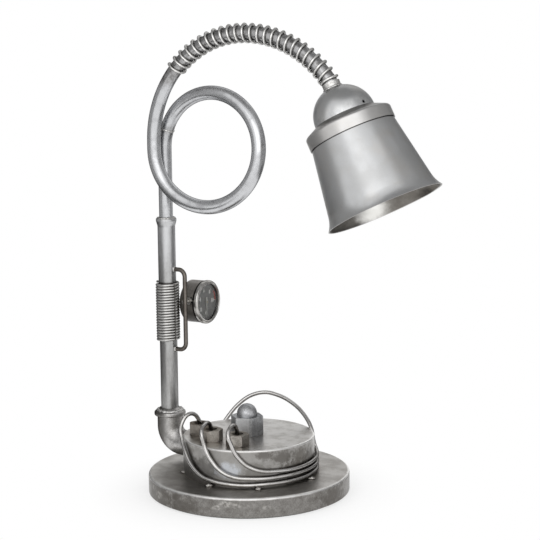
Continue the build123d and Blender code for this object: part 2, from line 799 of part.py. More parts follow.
def tube_stations():
    """Stations of the riser, the loop and the arch, from the pipe to the neck."""
    foot = (Vector(pole_offset, 0, pole_top - riser_overlap), UP)
    loop_start = (Vector(pole_offset, 0, loop_height), UP)

    def on_loop(angle):
        phase = math.radians(angle)
        wind = angle / 360 - math.sin(phase) / (2 * math.pi)
        reach = loop_half_width + loop_outset * max(0, angle - 270) / 90
        across = pole_offset + loop_half_width - reach * math.cos(phase)
        return Vector(across, -loop_step * wind, loop_height + loop_half_height * math.sin(phase))

    def loop_station(angle):
        nudge = 0.05
        return on_loop(angle), (on_loop(angle + nudge) - on_loop(angle - nudge)).normalized()

    weld = loop_station(weld_angle)
    loop = [weld] + [loop_station(angle) for angle in (90, 180, 270)]
    loop_end = (on_loop(360), UP)
    spring_line = (loop_end[0] + UP * arch_straight, UP)
    shoulder = bend(spring_line, shoulder_radius, shoulder_angle, SIDE)
    crown = bend(shoulder, crown_radius, 90 - shoulder_angle, SIDE)
    fall = bend(crown, fall_radius, fall_angle, SIDE)
    neck = bend(fall, neck_bend_radius, 90 - fall_angle - shade_tilt, SIDE)
    return [foot, loop_start, weld], loop + [loop_end], [loop_end, spring_line, shoulder, crown, fall, neck]


def make_arm(riser, loop, arch):
    """Riser, loop, arch with its spring, and the lead that runs inside them all."""
    parts["riser_tube"] = tube_along(riser, tube_radius, tube_wall)
    parts["loop_tube"] = tube_along(loop, tube_radius, tube_wall)
    parts["arch_tube"] = tube_along(arch, tube_radius, tube_wall)
    axis = run(arch)
    helix_radius = tube_radius + spring_clearance + spring_wire_radius
    spring = winding(axis, spring_start, axis.length - spring_stop_gap, spring_turns, helix_radius)
    spring = straight_ends(spring, 2 * spring_wire_radius)
    gap = least_self_gap(spring, spring_wire_radius, 2 * math.pi * helix_radius)
    print(f"arch_spring least gap between turns {gap:.2f} mm")
    parts["arch_spring"] = bar_along(spring, spring_wire_radius)
    elbow_corner = Vector(pole_offset, 0, elbow_height)
    knee = (elbow_corner + UP * elbow_bend, UP)
    foot = (elbow_corner + Vector(elbow_bend, 0, 0), Vector(-1, 0, 0))
    block = (Vector(terminal_place() - terminal_length / 4, 0, elbow_height), Vector(-1, 0, 0))
    neck_point, neck_heading = arch[-1]
    lead_end = holder_flange_top() - holder_core_length - seat_clearance
    holder = (neck_point + neck_heading * lead_end, neck_heading)
    lead = [block, foot, knee] + riser[1:] + loop[1:] + arch[1:] + [holder]
    parts["inner_lead"] = bar_along(lead, lead_radius)


def make_head(neck):
    """Collar, dome, cap, shade and lampholder on the axis of the head."""
    point, heading = neck
    place = Plane(point, x_dir=SIDE.cross(heading), z_dir=heading).location
    dome_centre = dome_top + dome_radius
    nipple_hole = nipple_radius + thread_clearance
    collar = post(tube_radius - tube_wall - spigot_clearance, -collar_spigot, 0)
    collar += post(collar_radius, 0, collar_length)
    collar -= Pos(0, 0, dome_centre) * Sphere(dome_radius)
    collar -= post(nipple_hole, -collar_spigot, collar_length)
    parts["neck_collar"] = place * collar
    nipple = post(nipple_radius, -nipple_start, nipple_end)
    nipple -= post(nipple_bore_radius, -nipple_start, nipple_end)
    parts["nipple"] = place * nipple
    dome_end = dome_centre + dome_skirt
    dome = Pos(0, 0, dome_centre) * (Sphere(dome_radius) - Sphere(dome_radius - dome_wall))
    dome &= post(dome_radius, 0, dome_centre)
    dome += post(dome_radius, dome_centre, dome_end) - post(dome_radius - dome_wall, dome_centre, dome_end)
    dome -= post(nipple_radius + seat_clearance, 0, dome_centre)
    vent_way = Pos(0, 0, dome_centre) * Rot(0, 0, vent_azimuth) * Rot(0, 180 - vent_polar, 0)
    dome -= vent_way * post(vent_radius, dome_radius / 2, dome_radius + overrun)
    parts["shade_dome"] = place * dome
    nut_start = dome_top + dome_wall + nipple_nut_lift
    nut = hexagon(nipple_nut_across_flats, nut_start, nut_start + nipple_nut_height, [])
    parts["nipple_nut"] = place * (nut - post(nipple_hole, nut_start, nut_start + nipple_nut_height))
    make_shade(place, dome_end)


def holder_flange_top():
    """Distance from the end of the tube to the flange of the shade that the lampholder clamps."""
    return dome_top + dome_radius + dome_skirt + cap_slope + cap_wall + shade_flange_gap


def make_shade(place, cap_top):
    """Cap, shade and the lampholder that clamps the shade's flange."""
    cap_shoulder = cap_top + cap_slope
    cap_bore = cap_radius - cap_wall
    cap = lathe(
        (cap_hole_radius, cap_top, 0),
        (dome_radius, cap_top, 0),
        (cap_radius, cap_shoulder, cap_edge_round + cap_wall),
        (cap_radius, cap_end, 0),
        (cap_bore, cap_end, 0),
        (cap_bore, cap_shoulder + cap_wall, cap_edge_round),
        (dome_radius, cap_top + cap_wall, 0),
        (cap_hole_radius, cap_top + cap_wall, 0),
    )
    parts["shade_cap"] = place * cap
    flange_top = holder_flange_top()
    parts["shade"] = place * shade_shell(flange_top)
    make_holder(place, flange_top)


def shade_shell(flange_top):
    """Bell shade with its clamped flange, tapered wall and flared rim."""
    taper = Vector(shade_waist_radius - shade_flange_radius, 0, shade_waist - flange_top).normalized()
    inset = Vector(shade_wall, 0, 0)
    shoulder = Vector(shade_flange_radius, 0, flange_top)
    waist = Vector(shade_waist_radius, 0, shade_waist)
    rim = Vector(shade_rim_radius, 0, shade_rim)
    inner_shoulder = shoulder - inset + UP * shade_wall
    hole = Vector(holder_skirt_radius + seat_clearance, 0, flange_top)
    inner_hole = hole + UP * shade_wall
    outline = [
        Edge.make_line(hole, shoulder),
        Edge.make_line(shoulder, waist),
        Edge.make_tangent_arc(waist, taper, rim),
        Edge.make_line(rim, rim - inset),
        Edge.make_tangent_arc(waist - inset, taper, rim - inset),
        Edge.make_line(waist - inset, inner_shoulder),
        Edge.make_line(inner_shoulder, inner_hole),
        Edge.make_line(inner_hole, hole),
    ]
    return revolve(make_face(outline), Axis.Z)


def make_holder(place, flange_top):
    """Lampholder: cap on the nipple, skirt, porcelain core, screw shell, contact and shade ring."""
    skirt_bore = holder_skirt_radius - holder_skirt_wall
    cap_wall_top = holder_cap_top + holder_cap_radius - holder_cap_top_radius
    cap = lathe(
        (nipple_radius + thread_clearance, holder_cap_top, 0),
        (holder_cap_top_radius, holder_cap_top, 0),
        (holder_cap_radius, cap_wall_top, 0),
        (holder_cap_radius, flange_top, 0),
        (holder_skirt_radius + seat_clearance, flange_top, 0),
        (holder_skirt_radius + seat_clearance, cap_wall_top + holder_cap_wall, 0),
        (holder_cap_top_radius, holder_cap_top + holder_cap_wall, 0),
        (nipple_radius + thread_clearance, holder_cap_top + holder_cap_wall, 0),
    )
    parts["holder_cap"] = place * cap
    core_start = flange_top - holder_core_length
    core_radius = skirt_bore - seat_clearance
    skirt = lathe(
        (skirt_bore, core_start, 0),
        (holder_skirt_radius, core_start, 0),
        (holder_skirt_radius, holder_skirt_end, holder_skirt_wall / 2),
        (screw_shell_radius + screw_shell_wall + seat_clearance, holder_skirt_end, 0),
        (screw_shell_radius + screw_shell_wall + seat_clearance, holder_skirt_end - holder_skirt_wall, 0),
        (skirt_bore, holder_skirt_end - holder_skirt_wall, 0),
    )
    parts["holder_skirt"] = place * skirt
    pin_hole = contact_pin_radius + running_clearance
    contact_end = flange_top - contact_sink
    contact_start = contact_end - contact_height
    pocket_bottom = contact_start - contact_travel - seat_clearance
    core = post(core_radius, core_start, flange_top) - post(pin_hole, core_start, flange_top)
    core -= post(contact_radius + pocket_clearance, pocket_bottom, flange_top)
    parts["holder_core"] = place * core
    shell_bottom = flange_top + screw_shell_wall
    outer = screw_shell_radius + screw_shell_wall
    shell = post(screw_shell_flange_radius, flange_top, shell_bottom)
    shell += post(outer, shell_bottom, holder_skirt_end)
    shell -= post(contact_radius * 2, flange_top, shell_bottom)
    shell -= post(screw_shell_radius, shell_bottom, holder_skirt_end)
    parts["screw_shell"] = place * shell
    contact = post(contact_radius, contact_start, contact_end)
    contact += post(contact_pin_radius, contact_start - contact_pin_length, contact_start)
    parts["centre_contact"] = place * contact
    ring_top = flange_top + shade_wall
    ring = lathe(
        (holder_skirt_radius + thread_clearance, ring_top, 0),
        (shade_ring_radius, ring_top, 0),
        (shade_ring_radius, ring_top + shade_ring_lip, 0),
        (holder_skirt_radius + shade_ring_lip, ring_top + shade_ring_lip, 0),
        (holder_skirt_radius + shade_ring_lip, ring_top + shade_ring_thickness, 0),
        (holder_skirt_radius + thread_clearance, ring_top + shade_ring_thickness, 0),
    )
    parts["shade_ring"] = place * ring


def build():
    """Make every piece and write each to its own file."""
    riser, loop, arch = tube_stations()
    make_base()
    make_drum()
    make_rods()
    make_pole()
    make_bracket()
    make_gauge()
    make_arm(riser, loop, arch)
    make_head(arch[-1])
    os.makedirs("parts", exist_ok=True)
    for name, shape in parts.items():
        export_step(shape, f"parts/{name}.step")


build()
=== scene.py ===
import json
import math

import bmesh
import bpy
from mathutils import Matrix, Vector, noise


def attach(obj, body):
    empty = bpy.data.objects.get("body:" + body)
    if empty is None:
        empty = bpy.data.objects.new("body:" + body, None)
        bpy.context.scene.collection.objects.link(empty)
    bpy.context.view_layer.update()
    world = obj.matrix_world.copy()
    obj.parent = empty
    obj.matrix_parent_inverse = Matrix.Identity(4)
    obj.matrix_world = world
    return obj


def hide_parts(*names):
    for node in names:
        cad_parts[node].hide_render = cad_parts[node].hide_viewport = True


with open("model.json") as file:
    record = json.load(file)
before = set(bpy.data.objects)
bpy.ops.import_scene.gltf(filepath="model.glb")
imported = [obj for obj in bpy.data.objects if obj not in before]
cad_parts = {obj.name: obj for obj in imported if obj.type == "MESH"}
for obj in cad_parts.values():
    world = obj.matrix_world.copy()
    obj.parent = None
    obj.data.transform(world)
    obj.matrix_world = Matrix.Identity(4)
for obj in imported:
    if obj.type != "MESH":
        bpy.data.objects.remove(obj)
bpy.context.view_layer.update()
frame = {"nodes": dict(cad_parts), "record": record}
nodes = frame["nodes"]

# An industrial table lamp of pipe, rod and turned steel. Metres, +Z up.
# The origin is the middle of the foot, on the table. +X is the way the shade reaches.

MM = 0.001

# Places and sizes that the pieces and finishes here share with the solids, in millimetres
base_top = 25.0
base_radius = 120.0
drum_top = 68.5
drum_radius = 78.4
rod_nut_places = ((-51.9, -26.4), (-24.0, -44.6), (14.9, -48.6))
cap_nut_x = -2.0
cap_nut_flats = 91.0
felt_radius = 115.0
felt_thickness = 2.0
elbow_top = 83.5
pole_x = -113.5
pole_radius = 10.65
pole_top = 321.5
coil_bottom = 171.8
coil_top = 245.0
bracket_rod_radius = 2.6
bracket_heights = (162.0, 260.0)
gauge_height = 215.6
gauge_groove_x = -87.3
dial_centre = (-85.1, 40.0, gauge_height)
tube_radius = 8.3
riser_weld = (-109.4, 0.0, 428.7)
riser_weld_heading = (0.342, 0.0, 0.94)
spring_foot = (478.0, 486.0)
spring_end = (130.66, -18.5, 492.36)
neck_end = (123.35, -18.5, 484.36)
head_axis = (0.44307, 0.0, -0.89649)
collar_radius = 10.2
collar_foot = (126.3, -18.5, 478.4)
dome_vent = (169.7, -29.6, 464.9)
inner_highlight = (149.0, 26.0, 341.0)

# Sizes of the head along its axis from the end of the tube, and out from that axis
dome_radius = 35.0
solder_band = (28.0, 34.0)
cap_shoulder = 48.4
cap_end = 62.6
cap_radius = 50.2
shade_top = 51.6
shade_top_radius = 47.0
shade_waist = 136.8
shade_waist_radius = 61.0
shade_flare = 0.0173
shade_rim = 151.8
shell_start = 52.3
shell_end = 76.0
shell_root_radius = 13.3
shell_crest_radius = 12.3
shell_pitch = 3.62
shell_flange_radius = 17.0
shell_wall = 0.5

# Tack welds on the foot: azimuth, radius and size
base_tacks = ((-92.2, 83.4, 3.3), (-51.2, 85.6, 3.5), (-0.2, 86.0, 2.7), (-139.8, 79.4, 2.5))

# Straight up, and level to the right across the lamp's front
upright = (0.0, 0.0, 1.0)
front_right = (0.857, 0.515, 0.0)


def tone(red, green, blue):
    """Colour as it looks on a screen, 0 to 255, as the linear values that a shader takes."""
    linear = []
    for level in (red, green, blue):
        part = level / 255
        linear.append(part / 12.92 if part <= 0.04045 else ((part + 0.055) / 1.055) ** 2.4)
    return (*linear, 1.0)


def about_axis(azimuth, radius, height):
    """Point about the upright axis of the foot and the drum, in millimetres."""
    angle = math.radians(azimuth)
    return Vector((radius * math.cos(angle), radius * math.sin(angle), height))


# Node helpers

evenly = (1.0, 1.0, 1.0)
mix_sockets = {"RGBA": (6, 7, 2), "FLOAT": (2, 3, 0)}


def node(tree, kind, **settings):
    """New node in a tree with its settings."""
    made = tree.nodes.new(kind)
    for name, value in settings.items():
        setattr(made, name, value)
    return made


def feed(tree, socket, value):
    """Joins a socket to another one, or sets a plain value on it."""
    if isinstance(value, bpy.types.NodeSocket):
        tree.links.new(value, socket)
    else:
        socket.default_value = value


def sum_of(tree, operation, first, second, clamp=False):
    """Math node on two values."""
    made = node(tree, "ShaderNodeMath", operation=operation, use_clamp=clamp)
    feed(tree, made.inputs[0], first)
    feed(tree, made.inputs[1], second)
    return made.outputs[0]


def vector_sum(tree, operation, first, second=(0.0, 0.0, 0.0)):
    """Vector Math node on two vectors."""
    made = node(tree, "ShaderNodeVectorMath", operation=operation)
    feed(tree, made.inputs[0], first)
    feed(tree, made.inputs[1], second)
    return made.outputs["Value" if operation in ("LENGTH", "DOT_PRODUCT") else "Vector"]


def stretched(tree, value, low, high, start=0.0, end=1.0):
    """Value mapped from one range to another with soft ends."""
    made = node(tree, "ShaderNodeMapRange", interpolation_type="SMOOTHSTEP")
    sockets = ("Value", "From Min", "From Max", "To Min", "To Max")
    for name, amount in zip(sockets, (value, low, high, start, end)):
        feed(tree, made.inputs[name], amount)
    return made.outputs["Result"]


def blended(tree, kind, share, first, second):
    """Mix of two colours (RGBA) or of two values (FLOAT)."""
    made = node(tree, "ShaderNodeMix", data_type=kind)
    first_input, second_input, output = mix_sockets[kind]
    feed(tree, made.inputs[0], share)
    feed(tree, made.inputs[first_input], first)
    feed(tree, made.inputs[second_input], second)
    return made.outputs[output]


def clouds(tree, place, size, detail, roughness):
    """Noise of a feature size in metres."""
    made = node(tree, "ShaderNodeTexNoise", noise_dimensions="3D")
    feed(tree, made.inputs["Vector"], place)
    feed(tree, made.inputs["Scale"], sum_of(tree, "DIVIDE", 1.0, size))
    made.inputs["Detail"].default_value = detail
    made.inputs["Roughness"].default_value = roughness
    return made.outputs[0]


def effect(name, inputs, outputs):
    """Empty shader group with its inputs, at their usual values, and its outputs."""
    group = bpy.data.node_groups.new(name, "ShaderNodeTree")
    for label, value in inputs.items():
        kind = "NodeSocketVector" if isinstance(value, tuple) else "NodeSocketFloat"
        group.interface.new_socket(label, in_out="INPUT", socket_type=kind).default_value = value
    for label in outputs:
        group.interface.new_socket(label, in_out="OUTPUT", socket_type="NodeSocketFloat")
    given = group.nodes.new("NodeGroupInput").outputs
    return group, given, group.nodes.new("NodeGroupOutput").inputs


def object_place(tree):
    """Object coordinates."""
    return node(tree, "ShaderNodeTexCoord").outputs["Object"]


def split(tree, vector):
    """X, Y and Z of a vector."""
    made = node(tree, "ShaderNodeSeparateXYZ")
    feed(tree, made.inputs[0], vector)
    return made.outputs


def from_axis(tree):
    """Distance from the upright axis of the foot and the drum."""
    flat = vector_sum(tree, "MULTIPLY", object_place(tree), (1.0, 1.0, 0.0))
    return vector_sum(tree, "LENGTH", flat)


# Effects that several finishes share, with their sizes in metres

patch_softness = 0.13
speck_range = (0.42, 0.66)
band_core = 0.25
band_lumps = 0.009
spot_core = 0.35
spot_lumps = 0.006
ring_wander = 0.02


def make_mottle():
    """Cloudy patches, fine specks and a relief, as on raw steel."""
    group, given, out = effect(
        "steel_mottle",
        {"Patch": 0.02, "Speck": 0.002, "Stretch": evenly, "Cover": 0.5},
        ("Patches", "Specks", "Relief"),
    )
    place = vector_sum(group, "MULTIPLY", object_place(group), given["Stretch"])
    patches = clouds(group, place, given["Patch"], detail=5.0, roughness=0.62)
    edge = sum_of(group, "SUBTRACT", 1.0, given["Cover"])
    low = sum_of(group, "SUBTRACT", edge, patch_softness)
    high = sum_of(group, "ADD", edge, patch_softness)
    feed(group, out["Patches"], stretched(group, patches, low, high))
    specks = clouds(group, place, given["Speck"], detail=3.0, roughness=0.6)
    feed(group, out["Specks"], stretched(group, specks, *speck_range))
    feed(group, out["Relief"], specks)
    return group


def make_ring_band():
    """Band about the upright axis at a radius and height, broken up along its length."""
    group, given, out = effect(
        "ring_band", {"Radius": 0.1, "Height": 0.0, "Width": 0.002, "Ragged": 0.3}, ("Band",),
    )
    place = object_place(group)
    height = split(group, place)["Z"]
    offset = node(group, "ShaderNodeCombineXYZ")
    feed(group, offset.inputs[0], sum_of(group, "SUBTRACT", from_axis(group), given["Radius"]))
    feed(group, offset.inputs[1], sum_of(group, "SUBTRACT", height, given["Height"]))
    distance = vector_sum(group, "LENGTH", offset.outputs[0])
    lumps = clouds(group, place, band_lumps, detail=4.0, roughness=0.6)
    ragged = sum_of(group, "MULTIPLY", lumps, given["Ragged"])
    share = sum_of(group, "ADD", sum_of(group, "DIVIDE", distance, given["Width"]), ragged)
    feed(group, out["Band"], stretched(group, share, band_core, 1.0, 1.0, 0.0))
    return group


def make_spot():
    """Ragged spot about a point."""
    group, given, out = effect(
        "ground_spot",
        {"Middle": (0.0, 0.0, 0.0), "Stretch": evenly, "Reach": 0.01, "Ragged": 1.0},
        ("Spot",),
    )
    place = object_place(group)
    from_middle = vector_sum(group, "SUBTRACT", place, given["Middle"])
    arm = vector_sum(group, "MULTIPLY", from_middle, given["Stretch"])
    distance = sum_of(group, "DIVIDE", vector_sum(group, "LENGTH", arm), given["Reach"])
    lumps = clouds(group, place, spot_lumps, detail=4.0, roughness=0.65)
    lumps = sum_of(group, "SUBTRACT", lumps, 0.5)
    share = sum_of(group, "ADD", distance, sum_of(group, "MULTIPLY", lumps, given["Ragged"]))
    feed(group, out["Spot"], stretched(group, share, spot_core, 1.0, 1.0, 0.0))
    return group


def make_turning():
    """Fine rings left by a lathe about the upright axis of the foot and the drum."""
    group, given, out = effect("turning_rings", {"Pitch": 0.0007, "Waver": 0.0004}, ("Rings",))
    wander = clouds(group, object_place(group), ring_wander, detail=2.0, roughness=0.5)
    waver = sum_of(group, "MULTIPLY", wander, given["Waver"])
    wavy_radius = sum_of(group, "ADD", from_axis(group), waver)
    turned = node(group, "ShaderNodeTexNoise", noise_dimensions="1D")
    feed(group, turned.inputs["W"], sum_of(group, "DIVIDE", wavy_radius, given["Pitch"]))
    turned.inputs["Scale"].default_value = 1.0
    turned.inputs["Detail"].default_value = 2.0
    feed(group, out["Rings"], turned.outputs[0])
    return group


def make_head_place():
    """Distance along the axis of the head from the end of the tube, and out from that axis."""
    group, _, out = effect("head_place", {}, ("Along", "Out"))
    arm = vector_sum(group, "SUBTRACT", object_place(group), Vector(neck_end) * MM)
    feed(group, out["Along"], vector_sum(group, "DOT_PRODUCT", arm, head_axis))
    out_way = vector_sum(group, "CROSS_PRODUCT", arm, head_axis)
    feed(group, out["Out"], vector_sum(group, "LENGTH", out_way))
    return group


mottle = make_mottle()
ring_band = make_ring_band()
ground_spot = make_spot()
turning_rings = make_turning()
head_place = make_head_place()


class Finish:
    """Material whose colour, roughness and relief are laid on in layers over a Principled BSDF."""

    def __init__(self, name, colour, roughness, metallic=0.0):
        self.name = name
        self.material = bpy.data.materials.new(name)
        self.material.use_nodes = True
        self.tree = self.material.node_tree
        self.shader = self.tree.nodes["Principled BSDF"]
        self.colour = tone(*colour)
        self.roughness = roughness
        self.normal = None
        self.set(Metallic=metallic)

    def set(self, **values):
        """Plain values on the shader's own sockets."""
        for name, value in values.items():
            self.shader.inputs[name.replace("_", " ")].default_value = value

    def use(self, group, **values):
        """Outputs of a shared effect with this finish's own values."""
        placed = node(self.tree, "ShaderNodeGroup", node_tree=group)
        for name, value in values.items():
            feed(self.tree, placed.inputs[name], value)
        return placed.outputs

    def marks(self, patch, speck, cover, stretch=evenly):
        """Patches, specks and relief of the mottle, with sizes in millimetres."""
        return self.use(mottle, Patch=patch * MM, Speck=speck * MM, Stretch=stretch, Cover=cover)

    def spot(self, middle, reach, ragged, stretch=evenly):
        """Mask of a ragged spot about a point in millimetres."""
        sizes = {"Middle": Vector(middle) * MM, "Reach": reach * MM}
        return self.use(ground_spot, Stretch=stretch, Ragged=ragged, **sizes)["Spot"]

    def band(self, radius, height, width, ragged):
        """Mask of a ragged band about the upright axis, with sizes in millimetres."""
        sizes = {"Radius": radius * MM, "Height": height * MM, "Width": width * MM}
        return self.use(ring_band, Ragged=ragged, **sizes)["Band"]

    def heights(self, low, high, below=1.0, above=0.0):
        """Mask with one value below a height and another above a second, in millimetres."""
        height = split(self.tree, object_place(self.tree))["Z"]
        return stretched(self.tree, height, low * MM, high * MM, below, above)

    def left_of(self, start, end):
        """Mask left of a place, fading out to another, in millimetres across the front."""
        across = vector_sum(self.tree, "DOT_PRODUCT", object_place(self.tree), front_right)
        return stretched(self.tree, across, start * MM, end * MM, 1.0, 0.0)

    def layer(self, share, masks):
        """Share of a layer where all its masks meet."""
        for mask in masks:
            share = sum_of(self.tree, "MULTIPLY", mask, share, clamp=True)
        return share

    def tint(self, share, colour, *masks):
        """Colour laid over by masks."""
        amount = self.layer(share, masks)
        self.colour = blended(self.tree, "RGBA", amount, self.colour, tone(*colour))

    def gloss(self, share, roughness, *masks):
        """Roughness laid over by masks."""
        amount = self.layer(share, masks)
        self.roughness = blended(self.tree, "FLOAT", amount, self.roughness, roughness)

    def relief(self, height, depth):
        """Bumps of a depth in millimetres."""
        bump = node(self.tree, "ShaderNodeBump")
        bump.inputs["Strength"].default_value = 1.0
        bump.inputs["Distance"].default_value = depth * MM
        feed(self.tree, bump.inputs["Height"], height)
        if self.normal is not None:
            feed(self.tree, bump.inputs["Normal"], self.normal)
        self.normal = bump.outputs["Normal"]

    def done(self):
        """The finished material."""
        feed(self.tree, self.shader.inputs["Base Color"], self.colour)
        feed(self.tree, self.shader.inputs["Roughness"], self.roughness)
        if self.normal is not None:
            feed(self.tree, self.shader.inputs["Normal"], self.normal)
        return self.material


# Kinds of finish. Patch, speck and grain are in millimetres.

dark_edge = (0.12, 0.12, 0.12, 1.0)
half_edge = (0.5, 0.5, 0.5, 1.0)
white_edge = (1.0, 1.0, 1.0, 1.0)
brass_edge = (0.8, 0.7, 0.5, 1.0)
steel_shine = 0.3
patch_dulling = 0.08
skin_dulling = 0.12


def steel(
    name, colour, dark, light, patch, speck, roughness, grain,
    metallic=1.0, edge=dark_edge, stretch=evenly, cover=0.5, patch_share=0.6, speck_share=0.35,
):
    """Raw steel: dark patches and pale specks over its colour, rougher where it is dark."""
    finish = Finish(name, colour, roughness, metallic)
    finish.set(Specular_Tint=edge, Specular_IOR_Level=steel_shine)
    marks = finish.marks(patch, speck, cover, stretch)
    finish.tint(patch_share, dark, marks["Patches"])
    finish.tint(speck_share, light, marks["Specks"])
    finish.gloss(1.0, roughness + patch_dulling, marks["Patches"])
    finish.relief(marks["Relief"], grain)
    return finish


def painted(name, colour, faded, patch, speck, cover, share, roughness):
    """Paint, print or glaze that is faded in clouds."""
    finish = Finish(name, colour, roughness)
    finish.tint(share, faded, finish.marks(patch, speck, cover)["Patches"])
    return finish


def moulded(name, colour, dark, roughness, grain):
    """Moulded plastic or rubber with a fine skin."""
    finish = Finish(name, colour, roughness)
    marks = finish.marks(12, 0.7, 0.5)
    finish.tint(0.5, dark, marks["Patches"])
    finish.gloss(0.5, roughness + skin_dulling, marks["Specks"])
    finish.relief(marks["Relief"], grain)
    return finish


def worn_edge_and_highlight(finish, radius, height, width):
    """Lays a bright edge round a turned piece: worn metal and a painted highlight."""
    band = finish.band(radius, height, width, 0.5)
    finish.tint(1.0, (250, 249, 247), band)
    finish.gloss(1.0, 0.42, band)


# Finishes with layers of their own

coil_shadow = 1.5
side_drop = 3.0
side_edge = 1.5
rings_depth = 0.02
inner_face_depth = (0.5, 0.9)

# Azimuth, height and reach of dull spots on the rim of the foot
rim_dull_spots = ((-121, 12, 30), (-98, 9, 24), (-4, 12, 22))

# Azimuth, height, reach and strength of bright chips on the rim of the foot
rim_chips = (
    (-71, 18, 9, 0.75), (-76, 13, 6, 0.55), (-65, 16, 6, 0.5), (-57, 17, 6, 0.3),
    (-97, 17, 7, 0.3), (-119, 13, 9, 0.3), (-126, 17, 7, 0.3), (-49, 14, 6, 0.3),
)

# Azimuth, height, reach and colour of tarnish clouds on the side of the drum; the darkest, towards
# the right, add painted shade, and the pale bluish one is a painted reflection
drum_tarnish_and_painted_light = (
    (-52, 42, 20, (118, 115, 111)),
    (-99, 44, 20, (98, 96, 93)),
    (-76, 45, 15, (206, 210, 216)),
    (-28, 58, 16, (88, 84, 79)),
    (-8, 54, 17, (98, 94, 88)),
    (-46, 63, 10, (96, 92, 87)),
    (-18, 40, 20, (84, 80, 75)),
    (8, 48, 20, (78, 74, 69)),
    (-125, 46, 26, (92, 89, 85)),
)


def tube_steel():
    """Satin tube of the riser, the loop and the arch, with painted shade round its weld and under
    the spring.
    """
    finish = steel(
        "tube_steel", (208, 209, 211), (162, 162, 164), (228, 228, 229), 13, 1.3, 0.24, 0.02,
        cover=0.42, patch_share=0.5, speck_share=0.1,
    )
    # Painted shade: darker round the weld, in the crevice where the tube passes the riser.
    finish.tint(0.45, (92, 89, 85), finish.spot(riser_weld, 16, 1.2))
    # Painted shade: the tube darker, in patches, where the spring wire covers it.
    shade_under_spring = finish.heights(*spring_foot, 0.0, 1.0)
    finish.tint(0.5, (140, 138, 136), shade_under_spring)
    finish.gloss(1.0, 0.24, shade_under_spring)
    finish.tint(0.55, (78, 74, 70), shade_under_spring, finish.marks(7, 1.2, 0.45)["Patches"])
    return finish


def pipe_steel():
    """Rolled pipe with streaks and pale flecks, with painted light towards its top and painted
    shade under the wound wire.
    """
    finish = steel(
        "pipe_steel", (172, 172, 171), (146, 145, 143), (198, 198, 198), 10, 1.4, 0.29, 0.06,
        stretch=(1.0, 1.0, 0.35), cover=0.48, patch_share=0.5, speck_share=0.22,
    )
    # Painted light: the pipe paler towards its top.
    finish.tint(0.7, (216, 217, 219), finish.spot((pole_x, 0.0, pole_top), 90, 0.6))
    streaks = finish.marks(6, 1.2, 0.45, (1.0, 1.0, 0.3))
    finish.tint(0.35, (150, 149, 147), streaks["Patches"])
    finish.tint(0.15, (232, 232, 232), streaks["Specks"])
    # Painted shade: the pipe dark between the turns of the wound wire.
    below_top = finish.heights(coil_top - coil_shadow, coil_top)
    above_foot = finish.heights(coil_bottom, coil_bottom + coil_shadow, 0.0, 1.0)
    finish.tint(0.85, (66, 63, 60), below_top, above_foot)
    return finish


def inside_of_shade(tree, place):
    """Mask of the shade's inner face, from the shape of its outer one."""
    taper = (shade_waist_radius - shade_top_radius) / (shade_waist - shade_top)
    below_top = sum_of(tree, "SUBTRACT", place["Along"], shade_top * MM)
    wall = sum_of(tree, "MULTIPLY", below_top, taper)
    below_waist = sum_of(tree, "SUBTRACT", place["Along"], shade_waist * MM)
    past_waist = sum_of(tree, "MAXIMUM", below_waist, 0.0)
    square = sum_of(tree, "MULTIPLY", past_waist, past_waist)
    flare = sum_of(tree, "MULTIPLY", square, shade_flare / MM)
    outside = sum_of(tree, "ADD", sum_of(tree, "ADD", wall, flare), shade_top_radius * MM)
    depth = sum_of(tree, "SUBTRACT", outside, place["Out"])
    low, high = inner_face_depth
    return stretched(tree, depth, low * MM, high * MM)


